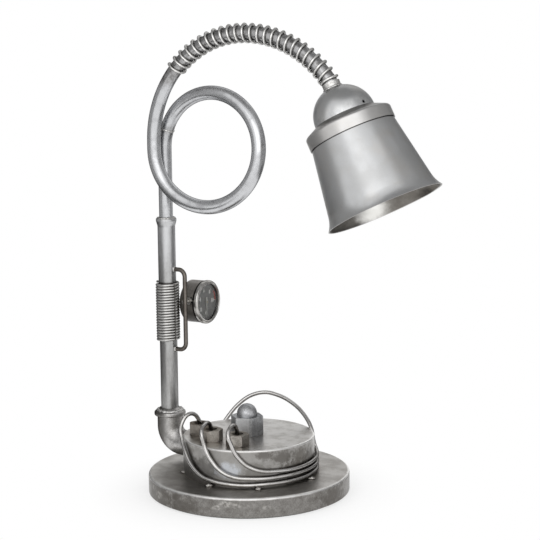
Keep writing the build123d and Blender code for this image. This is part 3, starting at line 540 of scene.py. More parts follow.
def shade_steel():
    """Spun steel of the dome, the cap and the bell, with warm tints; painted shade inside, under
    the skirt, on the cap's slope and in the vent; painted highlights inside and on the rim.
    """
    finish = steel(
        "shade_steel", (196, 197, 198), (180, 180, 179), (208, 208, 207), 40, 1.1, 0.28, 0.02,
        edge=half_edge, patch_share=0.5, speck_share=0.12,
    )
    tree = finish.tree
    place = finish.use(head_place)

    def along(low, high, before=0.0, after=1.0):
        return stretched(tree, place["Along"], low * MM, high * MM, before, after)

    def out(low, high, within=0.0, beyond=1.0):
        return stretched(tree, place["Out"], low * MM, high * MM, within, beyond)

    finish.tint(0.25, (194, 187, 178), finish.marks(30, 4, 0.42)["Patches"])
    on_skirt = along(cap_shoulder - 1.0, cap_shoulder)
    finish.tint(0.2, (210, 202, 193), on_skirt, along(cap_end, cap_end + 0.1, 1.0, 0.0))
    above_shoulder = along(cap_shoulder - 2.0, cap_shoulder, 1.0, 0.0)
    dome_foot = out(dome_radius - 2.5, dome_radius - 0.5)
    low_dome = along(*solder_band)
    drops = finish.marks(2.4, 0.8, 0.42)["Patches"]
    finish.tint(0.3, (236, 235, 232), dome_foot, low_dome, above_shoulder, drops)
    # Painted shade: the cap's slope darker at the foot of the dome.
    cap_slope = out(dome_radius + 0.2, dome_radius + 0.8)
    finish.tint(0.5, (146, 140, 133), cap_slope, above_shoulder)
    # Painted shade: dark in and round the vent hole of the dome.
    finish.tint(1.0, (16, 15, 14), finish.spot(dome_vent, 2.6, 0.2))
    inner_face = inside_of_shade(tree, place)
    below_cap = along(cap_end + 0.4, cap_end + 1.4)
    # Painted shade: the inside of the bell darker than its outside.
    finish.tint(1.0, (134, 131, 126), inner_face, below_cap)
    stain = finish.marks(18, 2, 0.5)["Patches"]
    finish.tint(0.7, (104, 100, 94), inner_face, below_cap, stain)
    # Painted highlight: a pale patch on the inside of the bell.
    painted_highlight = finish.spot(inner_highlight, 24, 0.4, (1.0, 0.8, 1.0))
    finish.tint(0.95, (246, 245, 241), inner_face, below_cap, painted_highlight)
    # Painted highlight: a pale line round the edge of the rim.
    finish.tint(0.9, (226, 225, 223), along(shade_rim - 0.7, shade_rim - 0.3))
    # Painted shade: a dark line on the bell just below the edge of the cap's skirt.
    under_cap = along(cap_end - 0.6, cap_end - 0.1)
    near_cap = along(cap_end + 0.5, cap_end + 1.5, 1.0, 0.0)
    behind_skirt = out(cap_radius - 1.2, cap_radius - 0.9, 1.0, 0.0)
    finish.tint(0.85, (62, 59, 56), under_cap, near_cap, behind_skirt)
    return finish


def base_steel():
    """Foot: heat-darkened plate with a scaly rim and bright chips, painted shade round the drum and
    on the rim's side, and a bright top edge of worn metal and painted highlight.
    """
    finish = steel(
        "base_steel", (160, 157, 153), (124, 119, 113), (184, 182, 178), 22, 1.8, 0.34, 0.06,
        edge=white_edge, speck_share=0.2,
    )
    finish.relief(finish.use(turning_rings)["Rings"], rings_depth)
    # Painted shade: the plate darker round the foot of the drum.
    finish.tint(0.4, (116, 107, 98), finish.band(drum_radius, base_top, 26, 0.7))
    # Painted shade: the rim's side darker than the top. The marks below on the side are its own
    # scale.
    side = finish.heights(base_top - side_drop, base_top - side_edge)
    finish.tint(0.65, (118, 116, 113), side)
    rim = finish.marks(15, 2.5, 0.4, (1.0, 1.0, 1.6))
    finish.tint(0.5, (96, 92, 87), rim["Patches"], side)
    scale = finish.marks(6, 1.6, 0.46)
    finish.tint(0.4, (164, 162, 159), scale["Patches"], side)
    finish.tint(0.3, (74, 71, 67), scale["Specks"], side)
    # Darker round each tack weld.
    for azimuth, radius, _ in base_tacks:
        dark_round_tack = finish.spot(about_axis(azimuth, radius, base_top), 8, 0.8)
        finish.tint(0.5, (80, 73, 66), dark_round_tack)
    for azimuth, height, reach in rim_dull_spots:
        middle = about_axis(azimuth, base_radius, height)
        finish.tint(0.7, (90, 86, 81), finish.spot(middle, reach, 1.6, (0.7, 0.7, 1.2)), side)
    chips = finish.marks(5.5, 0.9, 0.5)["Patches"]
    for azimuth, height, reach, share in rim_chips:
        middle = about_axis(azimuth, base_radius, height)
        finish.tint(share, (222, 219, 214), finish.spot(middle, reach, 1.6, (0.8, 0.8, 1.7)), chips)
    # Bright top edge: worn metal and a painted highlight.
    worn_edge_and_highlight(finish, base_radius - 1.0, base_top - 0.8, 3.4)
    return finish


def drum_steel():
    """Drum: satin turned top, brownish round the nuts with painted shade at their feet, a side with
    tarnish clouds, painted shade and a painted reflection, and a bright top edge of worn metal and
    painted highlight.
    """
    finish = steel(
        "drum_steel", (176, 174, 171), (132, 128, 122), (198, 196, 193), 17, 1.6, 0.3, 0.04,
        edge=white_edge, stretch=(1.0, 1.0, 0.6), cover=0.46, speck_share=0.2,
    )
    finish.relief(finish.use(turning_rings)["Rings"], rings_depth)
    # Painted shade: the drum's side darker than its top.
    side = finish.heights(drum_top - side_drop, drum_top - side_edge)
    finish.tint(0.6, (146, 144, 141), side)
    # Tarnish clouds on the drum's side, with painted shade in the darkest and a painted reflection
    # in the pale one.
    for azimuth, height, reach, colour in drum_tarnish_and_painted_light:
        middle = about_axis(azimuth, drum_radius, height)
        finish.tint(0.75, colour, finish.spot(middle, reach, 1.7, (0.8, 0.8, 1.2)))
    # Brownish round the nuts, with painted shade darker at their feet and round the cap nut.
    for x, y in rod_nut_places:
        finish.tint(0.45, (122, 110, 97), finish.spot((x, y, drum_top), 32, 0.9))
        finish.tint(0.7, (72, 65, 58), finish.spot((x, y, drum_top), 21, 0.5))
    finish.tint(0.6, (92, 88, 83), finish.spot((cap_nut_x, 0.0, drum_top), 27, 0.5))
    # Bright top edge: worn metal and a painted highlight.
    worn_edge_and_highlight(finish, drum_radius - 0.7, drum_top - 0.6, 3.0)
    return finish


def elbow_iron():
    """Grainy cast elbow, with painted shade on its left side."""
    finish = steel(
        "elbow_iron", (192, 190, 188), (150, 148, 144), (228, 227, 225), 8, 1.6, 0.34, 0.3,
        patch_share=0.5, speck_share=0.45,
    )
    # Painted shade: the left side of the elbow dark.
    finish.tint(0.85, (98, 96, 93), finish.left_of(-108, -97))
    return finish


def cap_nut_zinc():
    """Grainy plated cap nut, bluish grey, with painted light on its left flats."""
    finish = steel(
        "cap_nut_zinc", (190, 191, 193), (136, 136, 138), (222, 224, 226), 3.5, 1.4, 0.34, 0.3,
        speck_share=0.5,
    )
    # Painted light: the left flats of the cap nut paler.
    on_flats = finish.heights(cap_nut_flats, cap_nut_flats + 1.0)
    finish.tint(0.6, (236, 237, 238), finish.left_of(0, 2), on_flats)
    return finish


def nut_steel():
    """Brownish open nuts, the first one darker."""
    finish = steel(
        "nut_steel", (182, 177, 170), (128, 122, 114), (216, 212, 206), 5, 1.3, 0.34, 0.2,
        speck_share=0.4,
    )
    finish.tint(0.5, (128, 120, 111), finish.left_of(-47, -44))
    return finish


def gauge_case_paint():
    """Dark satin enamel, rubbed thin in places, with painted shade on its lower side and in the
    groove behind the bezel.
    """
    finish = Finish("gauge_case_paint", (112, 109, 105), 0.36, 0.6)
    finish.set(Specular_IOR_Level=0.35)
    marks = finish.marks(9, 1.4, 0.48)
    finish.tint(0.5, (84, 79, 74), marks["Patches"])
    finish.tint(0.35, (150, 146, 140), marks["Specks"])
    finish.gloss(1.0, 0.46, marks["Patches"])
    # Painted shade: the lower side of the case darker.
    shaded_low_side = finish.heights(gauge_height - 18, gauge_height + 2)
    finish.tint(0.9, (54, 50, 46), shaded_low_side)
    # Painted shade: a dark line in the groove behind the bezel.
    reach = split(finish.tree, object_place(finish.tree))["X"]
    groove = stretched(finish.tree, reach, (gauge_groove_x - 0.3) * MM, gauge_groove_x * MM)
    finish.tint(1.0, (20, 18, 16), groove)
    finish.gloss(1.0, 0.8, groove)
    finish.relief(marks["Relief"], 0.06)
    return finish


def gauge_glass():
    """Clear flat glass with faint smears."""
    finish = Finish("gauge_glass", (255, 255, 255), 0.03)
    finish.set(Transmission_Weight=1.0, IOR=1.45)
    finish.gloss(0.5, 0.09, finish.marks(8, 2, 0.4)["Patches"])
    return finish


def dial_paint():
    """Dark grey dial, faded in clouds and specks."""
    finish = Finish("dial_paint", (146, 146, 144), 0.55)
    marks = finish.marks(7, 0.8, 0.45)
    finish.tint(0.5, (164, 164, 161), marks["Patches"])
    finish.tint(0.2, (178, 176, 172), marks["Specks"])
    return finish


def felt():
    """Dark green felt with matted fibres."""
    finish = Finish("felt", (52, 60, 52), 0.95)
    finish.set(Sheen_Weight=0.4, Sheen_Roughness=0.5)
    finish.tint(0.5, (42, 49, 43), finish.marks(11, 0.6, 0.5)["Patches"])
    fibres = finish.marks(2.2, 0.35, 0.5, (1.0, 0.35, 1.0))
    finish.tint(0.5, (70, 78, 68), fibres["Patches"])
    finish.relief(fibres["Relief"], 0.4)
    return finish


# Metals with the same marks all over. The numbers are patch, speck, roughness and grain.
drawn = {"cover": 0.42, "speck_share": 0.1}
plain_steels = [
    # Bright drawn rod
    steel(
        "rod_steel", (198, 196, 194), (148, 144, 139), (222, 221, 219), 10, 1.4, 0.2, 0.02,
        patch_share=0.5, **drawn,
    ),
    # Wire wound on the pipe
    steel(
        "coil_wire", (204, 203, 201), (158, 155, 151), (232, 231, 229), 6, 1.0, 0.12, 0.02,
        patch_share=0.4, **drawn,
    ),
    # Bright wire of the spring on the arch
    steel(
        "spring_wire", (228, 227, 225), (140, 137, 133), (240, 239, 237), 6, 1.0, 0.12, 0.02,
        patch_share=0.5, **drawn,
    ),
    # Brownish bent rod of the gauge
    steel(
        "bracket_iron", (122, 116, 110), (88, 82, 76), (156, 151, 145), 8, 1.2, 0.32, 0.04,
        patch_share=0.5, speck_share=0.2,
    ),
    # Bright bezel with dull nicks
    steel(
        "bezel_steel", (188, 186, 183), (130, 126, 121), (232, 231, 229), 5, 1.0, 0.18, 0.04,
        cover=0.4, patch_share=0.5, speck_share=0.15,
    ),
    # Bright stud and nut of the gauge
    steel(
        "stem_steel", (196, 194, 190), (140, 135, 128), (224, 223, 220), 4, 0.8, 0.26, 0.06,
        cover=0.45,
    ),
    # Brass of the movement
    steel(
        "movement_brass", (186, 152, 86), (150, 116, 60), (214, 186, 126), 6, 0.8, 0.32, 0.03,
        metallic=0.85, edge=brass_edge,
    ),
    # Bright grainy weld metal
    steel(
        "collar_weld", (212, 211, 209), (144, 140, 135), (244, 243, 241), 3.5, 0.9, 0.26, 0.3,
        cover=0.46, speck_share=0.5,
    ),
    # Plated screws, stud, washer and thin nut
    steel(
        "fixing_steel", (150, 150, 146), (112, 110, 104), (192, 192, 188), 7, 1.0, 0.34, 0.06,
        metallic=0.75,
    ),
    # Screw shell and contact, nickelled brass worn to yellow
    steel(
        "socket_brass", (188, 164, 112), (150, 122, 74), (216, 200, 160), 6, 0.8, 0.28, 0.03,
        metallic=0.88, edge=brass_edge,
    ),
]

# Coats: patch, speck, cover, share and roughness of paint, roughness and grain of plastic
plain_coats = [
    painted("pointer_paint", (214, 213, 208), (186, 184, 178), 3, 0.6, 0.45, 0.4, 0.4),
    painted("porcelain", (226, 222, 212), (208, 202, 190), 14, 1.0, 0.3, 0.4, 0.18),
    moulded("grommet_rubber", (38, 37, 36), (52, 50, 48), 0.6, 0.08),
    moulded("terminal_plastic", (206, 202, 190), (190, 184, 170), 0.4, 0.04),
    moulded("lead_rubber", (34, 33, 32), (44, 43, 42), 0.5, 0.05),
    moulded("holder_plastic", (44, 38, 34), (58, 50, 44), 0.35, 0.05),
]

layered_finishes = [
    base_steel(), drum_steel(), pipe_steel(), tube_steel(), shade_steel(), elbow_iron(),
    cap_nut_zinc(), nut_steel(), gauge_case_paint(), gauge_glass(), dial_paint(), felt(),
]

slot_finishes = {
    finish.name: finish.done() for finish in layered_finishes + plain_steels + plain_coats
}

# Finishes of added pieces that have no slot of their own: pale and red print, burnt weld
dial_white = painted("dial_white", (252, 251, 248), (220, 218, 212), 2, 0.5, 0.42, 0.4, 0.5).done()
dial_red = painted("dial_red", (202, 112, 105), (172, 112, 105), 3, 0.6, 0.5, 0.5, 0.5).done()
tack_weld = steel(
    "tack_weld", (202, 199, 195), (104, 98, 92), (236, 235, 232), 1.8, 0.6, 0.24, 0.2,
    patch_share=0.8, speck_share=0.4,
).done()


def dress_nodes():
    """Gives every solid the finish of its slot."""
    for entry in frame["record"]["subparts"]:
        solid = nodes[entry["node"]]
        solid.data.materials.clear()
        solid.data.materials.append(slot_finishes[entry["material_slot"]])


# Added pieces

arc_steps = 24
seed_steps = (7.3, 3.1, 5.7)


def only(kind, items):
    """Items of one kind."""
    return [item for item in items if isinstance(item, kind)]


def stood(mesh, name, material):
    """Object at the origin made of a mesh and its material."""
    data = bpy.data.meshes.new(name)
    mesh.to_mesh(data)
    mesh.free()
    data.materials.append(material)
    made = bpy.data.objects.new(name, data)
    bpy.context.scene.collection.objects.link(made)
    return made


def settle(mesh, name, slot, finish=None, smooth=True):
    """Cleans a mesh and makes it a piece that rides on the lamp, with its slot and finish."""
    bmesh.ops.remove_doubles(mesh, verts=mesh.verts[:], dist=1e-7)
    bmesh.ops.recalc_face_normals(mesh, faces=mesh.faces[:])
    for face in mesh.faces:
        face.smooth = smooth
    piece = stood(mesh, name, finish or slot_finishes[slot])
    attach(piece, "lamp")
    return piece


def place_along(point, heading):
    """Matrix that puts a mesh in millimetres at a point with its Z axis along a heading."""
    turn = Vector(heading).to_track_quat("Z", "Y").to_matrix().to_4x4()
    return Matrix.Scale(MM, 4) @ Matrix.Translation(point) @ turn


def lumpy(mesh, seed, size, depth):
    """Pushes a mesh in and out along its normals by noise."""
    mesh.normal_update()
    shift = Vector([seed * step for step in seed_steps])
    for vertex in mesh.verts:
        vertex.co += vertex.normal * depth * noise.noise(vertex.co / size + shift)


# Weld beads: name, radius of the joint, bead, place, heading, ripples, seed and squeeze
weld_beads = (
    ("elbow_weld", pole_radius + 3.4, 2.7, (pole_x, 0, elbow_top + 1.4), upright, 17, 1, 0.8),
    ("bell_weld", tube_radius + 1.6, 1.5, (pole_x, 0, pole_top + 0.2), upright, 14, 2, 1.0),
    ("neck_weld", collar_radius - 0.3, 1.5, collar_foot, head_axis, 15, 5, 1.0),
    ("riser_weld", tube_radius - 0.1, 0.9, riser_weld, riser_weld_heading, 13, 3, 1.4),
)
bracket_bead = 1.1
bracket_ripples = 9
bead_sides = 12
steps_per_ripple = 5
bead_least = 0.88
bead_ripple = 0.22
bead_waver = 0.22
waver_length = 5.0
bead_lump_size = 1.6
bead_lump_depth = 0.25


def weld_ring(name, ring, bead, point, heading, ripples, seed, squeeze):
    """Bead of weld laid round a joint in overlapping ripples."""
    mesh = bmesh.new()
    stand = Matrix.Translation((ring, 0, 0)) @ Matrix.Rotation(math.radians(90), 4, "X")
    section = bmesh.ops.create_circle(mesh, segments=bead_sides, radius=bead, matrix=stand)
    bmesh.ops.spin(
        mesh, geom=section["verts"] + mesh.edges[:], axis=(0, 0, 1), cent=(0, 0, 0),
        angle=2 * math.pi, steps=ripples * steps_per_ripple, use_merge=True,
    )
    bmesh.ops.remove_doubles(mesh, verts=mesh.verts[:], dist=1e-5)
    bmesh.ops.recalc_face_normals(mesh, faces=mesh.faces[:])
    for vertex in mesh.verts:
        angle = math.atan2(vertex.co.y, vertex.co.x)
        spine = Vector((ring * math.cos(angle), ring * math.sin(angle), 0))
        ripple = (angle / (2 * math.pi) * ripples) % 1.0
        waver = noise.noise(spine / waver_length + Vector((seed, 0, 0)))
        swell = bead_least + bead_ripple * math.sin(math.pi * ripple) + bead_waver * waver
        offset = (vertex.co - spine) * swell
        offset.z *= squeeze
        vertex.co = spine + offset
    lumpy(mesh, seed, bead_lump_size, bead_lump_depth)
    bmesh.ops.transform(mesh, matrix=place_along(point, heading), verts=mesh.verts[:])
    settle(mesh, name, "collar_weld")


# Drops of a tack weld: place across and along, and size, as shares of the tack's size
tack_drops = ((0, 0, 1.0), (0.8, 0.25, 0.72), (-0.65, 0.4, 0.6))
tack_flatness = 0.72
tack_turn = 1.9
tack_lift = 1.0
tack_lump_size = 0.55
tack_lump_depth = 0.3


def rod_tacks():
    """Small blobs of weld on the foot, each a few run-together drops."""
    mesh = bmesh.new()
    for number, (azimuth, radius, size) in enumerate(base_tacks):
        point = about_axis(azimuth, radius, base_top + tack_lift)
        turn = Matrix.Rotation(number * tack_turn, 4, "Z")
        for drop, (across, along, share) in enumerate(tack_drops):
            blob = bmesh.new()
            bmesh.ops.create_icosphere(blob, subdivisions=3, radius=size * share)
            seed = number * len(tack_drops) + drop
            lumpy(blob, seed, size * tack_lump_size, size * tack_lump_depth)
            bmesh.ops.scale(blob, vec=(1.0, 1.0, tack_flatness), verts=blob.verts[:])
            step = turn @ Vector((across * size, along * size, 0))
            place = Matrix.Scale(MM, 4) @ Matrix.Translation(point + step) @ turn
            bmesh.ops.transform(blob, matrix=place, verts=blob.verts[:])
            part = bpy.data.meshes.new("blob")
            blob.to_mesh(part)
            blob.free()
            mesh.from_mesh(part)
            bpy.data.meshes.remove(part)
    settle(mesh, "rod_tacks", "collar_weld", tack_weld)


def add_welds():
    """Welds at every joint that shows one."""
    for bead in weld_beads:
        weld_ring(*bead)
    for height, side in zip(bracket_heights, ("low", "high")):
        weld_ring(
            f"bracket_weld_{side}", bracket_rod_radius + 0.2, bracket_bead,
            (pole_x + pole_radius + 0.3, 0, height), (1, 0, 0), bracket_ripples, 4 + height, 1.0,
        )
    rod_tacks()


felt_edge = 0.5
felt_border = 3.0
felt_sides = 160
sharp_corner = 1.0


def felt_disc():
    """Felt under the foot, with a soft cut edge."""
    mesh = bmesh.new()
    bmesh.ops.create_circle(mesh, cap_ends=True, segments=felt_sides, radius=felt_radius)
    bmesh.ops.inset_region(mesh, faces=mesh.faces[:], thickness=felt_border, use_even_offset=True)
    raised = bmesh.ops.extrude_face_region(mesh, geom=mesh.faces[:], use_keep_orig=True)["geom"]
    top = only(bmesh.types.BMVert, raised)
    bmesh.ops.translate(mesh, vec=(0, 0, felt_thickness), verts=top)
    corners = [edge for edge in mesh.edges if edge.calc_face_angle(0) > sharp_corner]
    bmesh.ops.bevel(
        mesh, geom=corners, offset=felt_edge, offset_type="OFFSET", affect="EDGES",
        segments=3, profile=0.5, material=-1,
    )
    bmesh.ops.scale(mesh, vec=(MM, MM, MM), verts=mesh.verts[:])
    piece = settle(mesh, "felt_disc", "felt")
    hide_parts("felt_pad")


thread_points = 12
thread_steps = 72


def threaded_shell():
    """Screw shell of the lampholder with its rolled thread and flange."""
    mesh = bmesh.new()
    turns = math.ceil((shell_end - shell_start) / shell_pitch) + 2
    middle = (shell_root_radius + shell_crest_radius) / 2
    swing = (shell_root_radius - shell_crest_radius) / 2
    line = []
    for number in range(turns * thread_points + 1):
        height = shell_start - 2 * shell_pitch + number * shell_pitch / thread_points
        radius = middle + swing * math.cos(2 * math.pi * number / thread_points)
        line.append(mesh.verts.new((radius, 0, height)))
    for first, second in zip(line, line[1:]):
        mesh.edges.new((first, second))
    bmesh.ops.spin(
        mesh, geom=mesh.verts[:] + mesh.edges[:], axis=(0, 0, 1), cent=(0, 0, 0),
        dvec=(0, 0, shell_pitch / thread_steps), angle=2 * math.pi, steps=thread_steps,
    )
    bmesh.ops.remove_doubles(mesh, verts=mesh.verts[:], dist=1e-3)
    for height, direction in ((shell_start, -1), (shell_end, 1)):
        bmesh.ops.bisect_plane(
            mesh, geom=mesh.verts[:] + mesh.edges[:] + mesh.faces[:], dist=1e-5,
            plane_co=(0, 0, height), plane_no=(0, 0, direction), clear_outer=True,
        )
    lowest = shell_start + 0.01
    open_edges = [edge for edge in mesh.edges if edge.is_boundary]
    foot = [edge for edge in open_edges if max(vertex.co.z for vertex in edge.verts) < lowest]
    spread = bmesh.ops.extrude_edge_only(mesh, edges=foot)["geom"]
    for vertex in only(bmesh.types.BMVert, spread):
        flat = Vector((vertex.co.x, vertex.co.y, 0)).normalized() * shell_flange_radius
        vertex.co = (flat.x, flat.y, shell_start)
    bmesh.ops.recalc_face_normals(mesh, faces=mesh.faces[:])
    bmesh.ops.solidify(mesh, geom=mesh.faces[:], thickness=shell_wall)
    bmesh.ops.transform(mesh, matrix=place_along(neck_end, head_axis), verts=mesh.verts[:])
    piece = settle(mesh, "threaded_shell", "socket_brass")
    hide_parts("screw_shell")


spring_end_reach = 5.5
spring_end_sweep = 270.0
spring_end_advance = 2.2
spring_end_steps = 60


def wound_spring():
    """Spring of the arch, with its last turn closed against the collar."""
    mesh = bmesh.new()
    mesh.from_mesh(nodes["arch_spring"].data)
    bmesh.ops.remove_doubles(mesh, verts=mesh.verts[:], dist=1e-6)
    cut = Vector(spring_end) * MM
    reach = spring_end_reach * MM
    tip = [vertex for vertex in mesh.verts if (vertex.co - cut).length < reach]
    in_tip = set(tip)
    tip += [edge for edge in mesh.edges if in_tip.issuperset(edge.verts)]
    tip += [face for face in mesh.faces if in_tip.issuperset(face.verts)]
    bmesh.ops.bisect_plane(
        mesh, geom=tip, dist=1e-7, plane_co=cut, plane_no=(0, -1, 0), clear_outer=True,
    )
    rim = [vertex for vertex in mesh.verts if vertex.is_boundary]
    rim += [edge for edge in mesh.edges if edge.is_boundary]
    turned = bmesh.ops.spin(
        mesh, geom=rim, axis=head_axis, cent=Vector(neck_end) * MM,
        dvec=Vector(head_axis) * spring_end_advance * MM / spring_end_steps,
        angle=math.radians(spring_end_sweep), steps=spring_end_steps,
    )["geom_last"]
    bmesh.ops.edgeloop_fill(mesh, edges=only(bmesh.types.BMEdge, turned))
    piece = settle(mesh, "wound_spring", "spring_wire")
    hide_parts("arch_spring")


# Dial print, in millimetres. A tick is its length and half its width.

zero_angle = -90.0
scale_sweep = 270.0
scale_radius = 19.6
scale_steps = 30
scale_numbers = 6
number_step = 2
number_radius = 13.9
number_height = 6.0
number_boldness = 0.55
long_tick = (2.6, 0.45)
short_tick = (1.4, 0.25)
red_from = 0.87
red_inner = 1.0
red_outer = 2.2
print_lift = 0.06


def dial_point(share, radius):
    """Point on the dial's face at a share of the scale, clockwise from straight down."""
    angle = math.radians(zero_angle - scale_sweep * share)
    return Vector((print_lift, radius * math.cos(angle), radius * math.sin(angle)))


def print_on_dial(mesh, name, finish):
    """Moves a flat mesh on to the dial and settles it there."""
    place = Matrix.Scale(MM, 4) @ Matrix.Translation(dial_centre)
    bmesh.ops.transform(mesh, matrix=place, verts=mesh.verts[:])
    settle(mesh, name, "dial_paint", finish, smooth=False)


def dial_ticks():
    """Ticks of the scale, long ones at the numbers."""
    mesh = bmesh.new()
    for step in range(scale_steps + 1):
        share = step / scale_steps
        at_number = step % (scale_steps // (scale_numbers - 1)) == 0
        length, half_width = long_tick if at_number else short_tick
        along = dial_point(share, 1.0) - Vector((print_lift, 0, 0))
        across = Vector((0, -along.z, along.y)) * half_width
        top = dial_point(share, scale_radius)
        foot = dial_point(share, scale_radius - length)
        corners = (top - across, top + across, foot + across, foot - across)
        mesh.faces.new([mesh.verts.new(corner) for corner in corners])
    print_on_dial(mesh, "dial_ticks", dial_white)


def dial_red_band():
    """Faded red band at the end of the scale."""
    mesh = bmesh.new()
    reach = (scale_radius - red_inner, scale_radius + red_outer)
    start = [mesh.verts.new(dial_point(red_from, radius)) for radius in reach]
    edge = mesh.edges.new(start)
    bmesh.ops.spin(
        mesh, geom=start + [edge], axis=(-1, 0, 0), cent=(print_lift, 0, 0),
        angle=math.radians(scale_sweep * (1 - red_from)), steps=arc_steps,
    )
    print_on_dial(mesh, "dial_red_band", dial_red)


def dial_numbers():
    """Numbers of the scale, flat meshes set upright on the dial."""
    gathered = bmesh.new()
    facing = Matrix(((0, 0, 1, 0), (1, 0, 0, 0), (0, 1, 0, 0), (0, 0, 0, 1)))
    for number in range(scale_numbers):
        words = bpy.data.curves.new("scale_number", "FONT")
        words.body = str(number * number_step)
        words.align_x = "CENTER"
        words.align_y = "CENTER"
        words.size = number_height
        words.offset = number_boldness
        words.resolution_u = 3
        holder = bpy.data.objects.new("scale_number", words)
        bpy.context.scene.collection.objects.link(holder)
        bpy.context.view_layer.update()
        flat = bpy.data.meshes.new_from_object(holder)
        bpy.data.objects.remove(holder)
        bpy.data.curves.remove(words)
        place = dial_point(number / (scale_numbers - 1), number_radius)
        flat.transform(Matrix.Translation(place) @ facing)
        gathered.from_mesh(flat)
        bpy.data.meshes.remove(flat)
    print_on_dial(gathered, "dial_numbers", dial_white)


dress_nodes()
felt_disc()
threaded_shell()
wound_spring()
dial_ticks()
dial_red_band()
dial_numbers()
add_welds()


# Studio. The lamp stands in a ring of dark nets, which shape what its metal reflects.

view_azimuth = math.radians(31.0)
view_pitch = math.radians(8.3)
view_roll = math.radians(-0.6)
lens_place = (0.9208, -1.4792, 0.5197)
lens_length = 100.0
sensor_width = 36.0
lamp_middle = Vector((0.02, 0.0, 0.27))
floor_radius = 6.0
floor_white = (0.92, 0.92, 0.92, 1.0)
shadow_reach = (0.12, 0.2)
shadow_share = 0.7
studio_radius = 0.55
studio_height = 1.3
curtain_split = 0.22
top_curtain_foot = 0.27
net_shade = (0.06, 0.06, 0.06, 1.0)


def background_share(tree):
    """One where a ray shows the background straight, in metal or through glass."""
    path = node(tree, "ShaderNodeLightPath").outputs
    share = sum_of(tree, "MAXIMUM", path["Is Camera Ray"], path["Is Glossy Ray"])
    return sum_of(tree, "MAXIMUM", share, path["Is Transmission Ray"])


def show_mix(tree, share, first, second, output="ShaderNodeOutputMaterial"):
    """Ends a tree in a mix of two shaders."""
    mix = node(tree, "ShaderNodeMixShader")
    feed(tree, mix.inputs[0], share)
    feed(tree, mix.inputs[1], first.outputs[0])
    feed(tree, mix.inputs[2], second.outputs[0])
    feed(tree, node(tree, output).inputs["Surface"], mix.outputs[0])


def bare_tree(owner):
    """Empty node tree of a material or world."""
    owner.use_nodes = True
    owner.node_tree.nodes.clear()
    return owner.node_tree


def staged(mesh, name, material):
    """Object for the studio, made of a mesh and its material."""
    made = stood(mesh, name, material)
    return made


def floor():
    """Pale floor that keeps the shadow near the lamp and runs out to white."""
    mesh = bmesh.new()
    bmesh.ops.create_circle(mesh, cap_ends=True, segments=96, radius=floor_radius)
    material = bpy.data.materials.new("floor_white")
    tree = bare_tree(material)
    matt = node(tree, "ShaderNodeBsdfDiffuse")
    matt.inputs["Color"].default_value = floor_white
    distance = vector_sum(tree, "LENGTH", object_place(tree))
    far = stretched(tree, distance, *shadow_reach, shadow_share)
    share = sum_of(tree, "MULTIPLY", background_share(tree), far)
    show_mix(tree, share, matt, node(tree, "ShaderNodeEmission"))
    staged(mesh, "floor", material)


def sky(fill):
    """White surroundings that light matt things at another level than they show."""
    world = bpy.data.worlds.new("studio")
    tree = bare_tree(world)
    soft = node(tree, "ShaderNodeBackground")
    white = node(tree, "ShaderNodeBackground")
    for background in (soft, white):
        background.inputs["Color"].default_value = (1.0, 1.0, 1.0, 1.0)
    soft.inputs["Strength"].default_value = fill
    show_mix(tree, background_share(tree), soft, white, "ShaderNodeOutputWorld")
    bpy.context.scene.world = world


def level_axes():
    """Level directions to the right and towards the camera."""
    right = Vector((math.cos(view_azimuth), math.sin(view_azimuth), 0.0))
    return right, Vector((right.y, -right.x, 0.0))


def camera():
    """Camera at the photograph's place."""
    right, level_back = level_axes()
    back = level_back * math.cos(view_pitch) + Vector(upright) * math.sin(view_pitch)
    up = back.cross(right)
    rolled_right = right * math.cos(view_roll) + up * math.sin(view_roll)
    rolled_up = up * math.cos(view_roll) - right * math.sin(view_roll)
    data = bpy.data.cameras.new("camera")
    data.lens = lens_length
    data.sensor_width = sensor_width
    made = bpy.data.objects.new("camera", data)
    turn = Matrix((rolled_right, rolled_up, back)).transposed().to_4x4()
    made.matrix_world = Matrix.Translation(lens_place) @ turn
    bpy.context.scene.collection.objects.link(made)
    bpy.context.scene.camera = made


def scrim(mesh, name, share):
    """Dark net that lets a share of the white surroundings through, out of the camera's sight."""
    material = bpy.data.materials.new(name)
    tree = bare_tree(material)
    cloth = node(tree, "ShaderNodeBsdfDiffuse")
    cloth.inputs["Color"].default_value = net_shade
    show_mix(tree, share, cloth, node(tree, "ShaderNodeBsdfTransparent"))
    staged(mesh, name, material).visible_camera = False


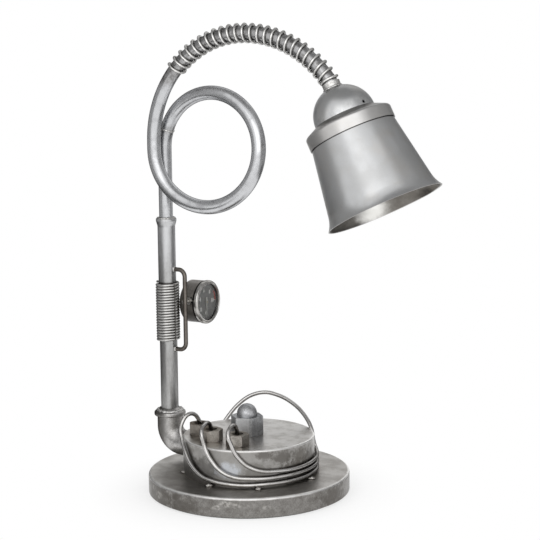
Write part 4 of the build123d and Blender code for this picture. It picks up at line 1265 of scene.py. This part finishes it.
def curtain(name, start, end, low, high, share):
    """Net curtain between two heights and two angles, to the right of straight behind the lamp."""
    right, level_back = level_axes()
    angle = math.radians(start)
    foot = lamp_middle + (right * math.sin(angle) - level_back * math.cos(angle)) * studio_radius
    mesh = bmesh.new()
    ends = [mesh.verts.new((foot.x, foot.y, height)) for height in (low, high)]
    edge = mesh.edges.new(ends)
    bmesh.ops.spin(
        mesh, geom=ends + [edge], axis=(0, 0, -1), cent=lamp_middle,
        angle=math.radians(end - start), steps=arc_steps,
    )
    scrim(mesh, name, share)


def ceiling(share):
    """Net across the top of the studio."""
    mesh = bmesh.new()
    lift = Matrix.Translation((0, 0, studio_height))
    bmesh.ops.create_circle(mesh, cap_ends=True, segments=48, radius=studio_radius, matrix=lift)
    scrim(mesh, "ceiling", share)


def softbox(name, sideways, upward, forward, width, height, watts):
    """Wide soft lamp, metres to the right, up and towards the camera, aimed at the lamp."""
    right, level_back = level_axes()
    place = lamp_middle + right * sideways + Vector(upright) * upward + level_back * forward
    data = bpy.data.lights.new(name, "AREA")
    data.shape = "RECTANGLE"
    data.size = width
    data.size_y = height
    data.energy = watts
    made = bpy.data.objects.new(name, data)
    made.rotation_mode = "QUATERNION"
    made.rotation_quaternion = (lamp_middle - place).to_track_quat("-Z", "Y")
    made.location = place
    bpy.context.scene.collection.objects.link(made)


floor()
sky(1.5)
# Angles from and to, heights from and to, and the share of light that a net lets through
curtain("left_low_curtain", -130.0, -25.0, 0.0, curtain_split, 0.1)
curtain("left_high_curtain", -113.0, -25.0, curtain_split, studio_height, 0.35)
curtain("right_low_curtain", 42.0, 116.0, 0.0, curtain_split, 0.1)
curtain("right_high_curtain", 42.0, 98.0, curtain_split, studio_height, 0.35)
curtain("right_top_curtain", 98.0, 134.0, top_curtain_foot, studio_height, 0.5)
ceiling(0.3)
softbox(
    "key_box", sideways=-0.15, upward=0.8, forward=2.05, width=2.5, height=1.6, watts=9.0,
)
camera()
bpy.context.scene.view_settings.view_transform = "Standard"
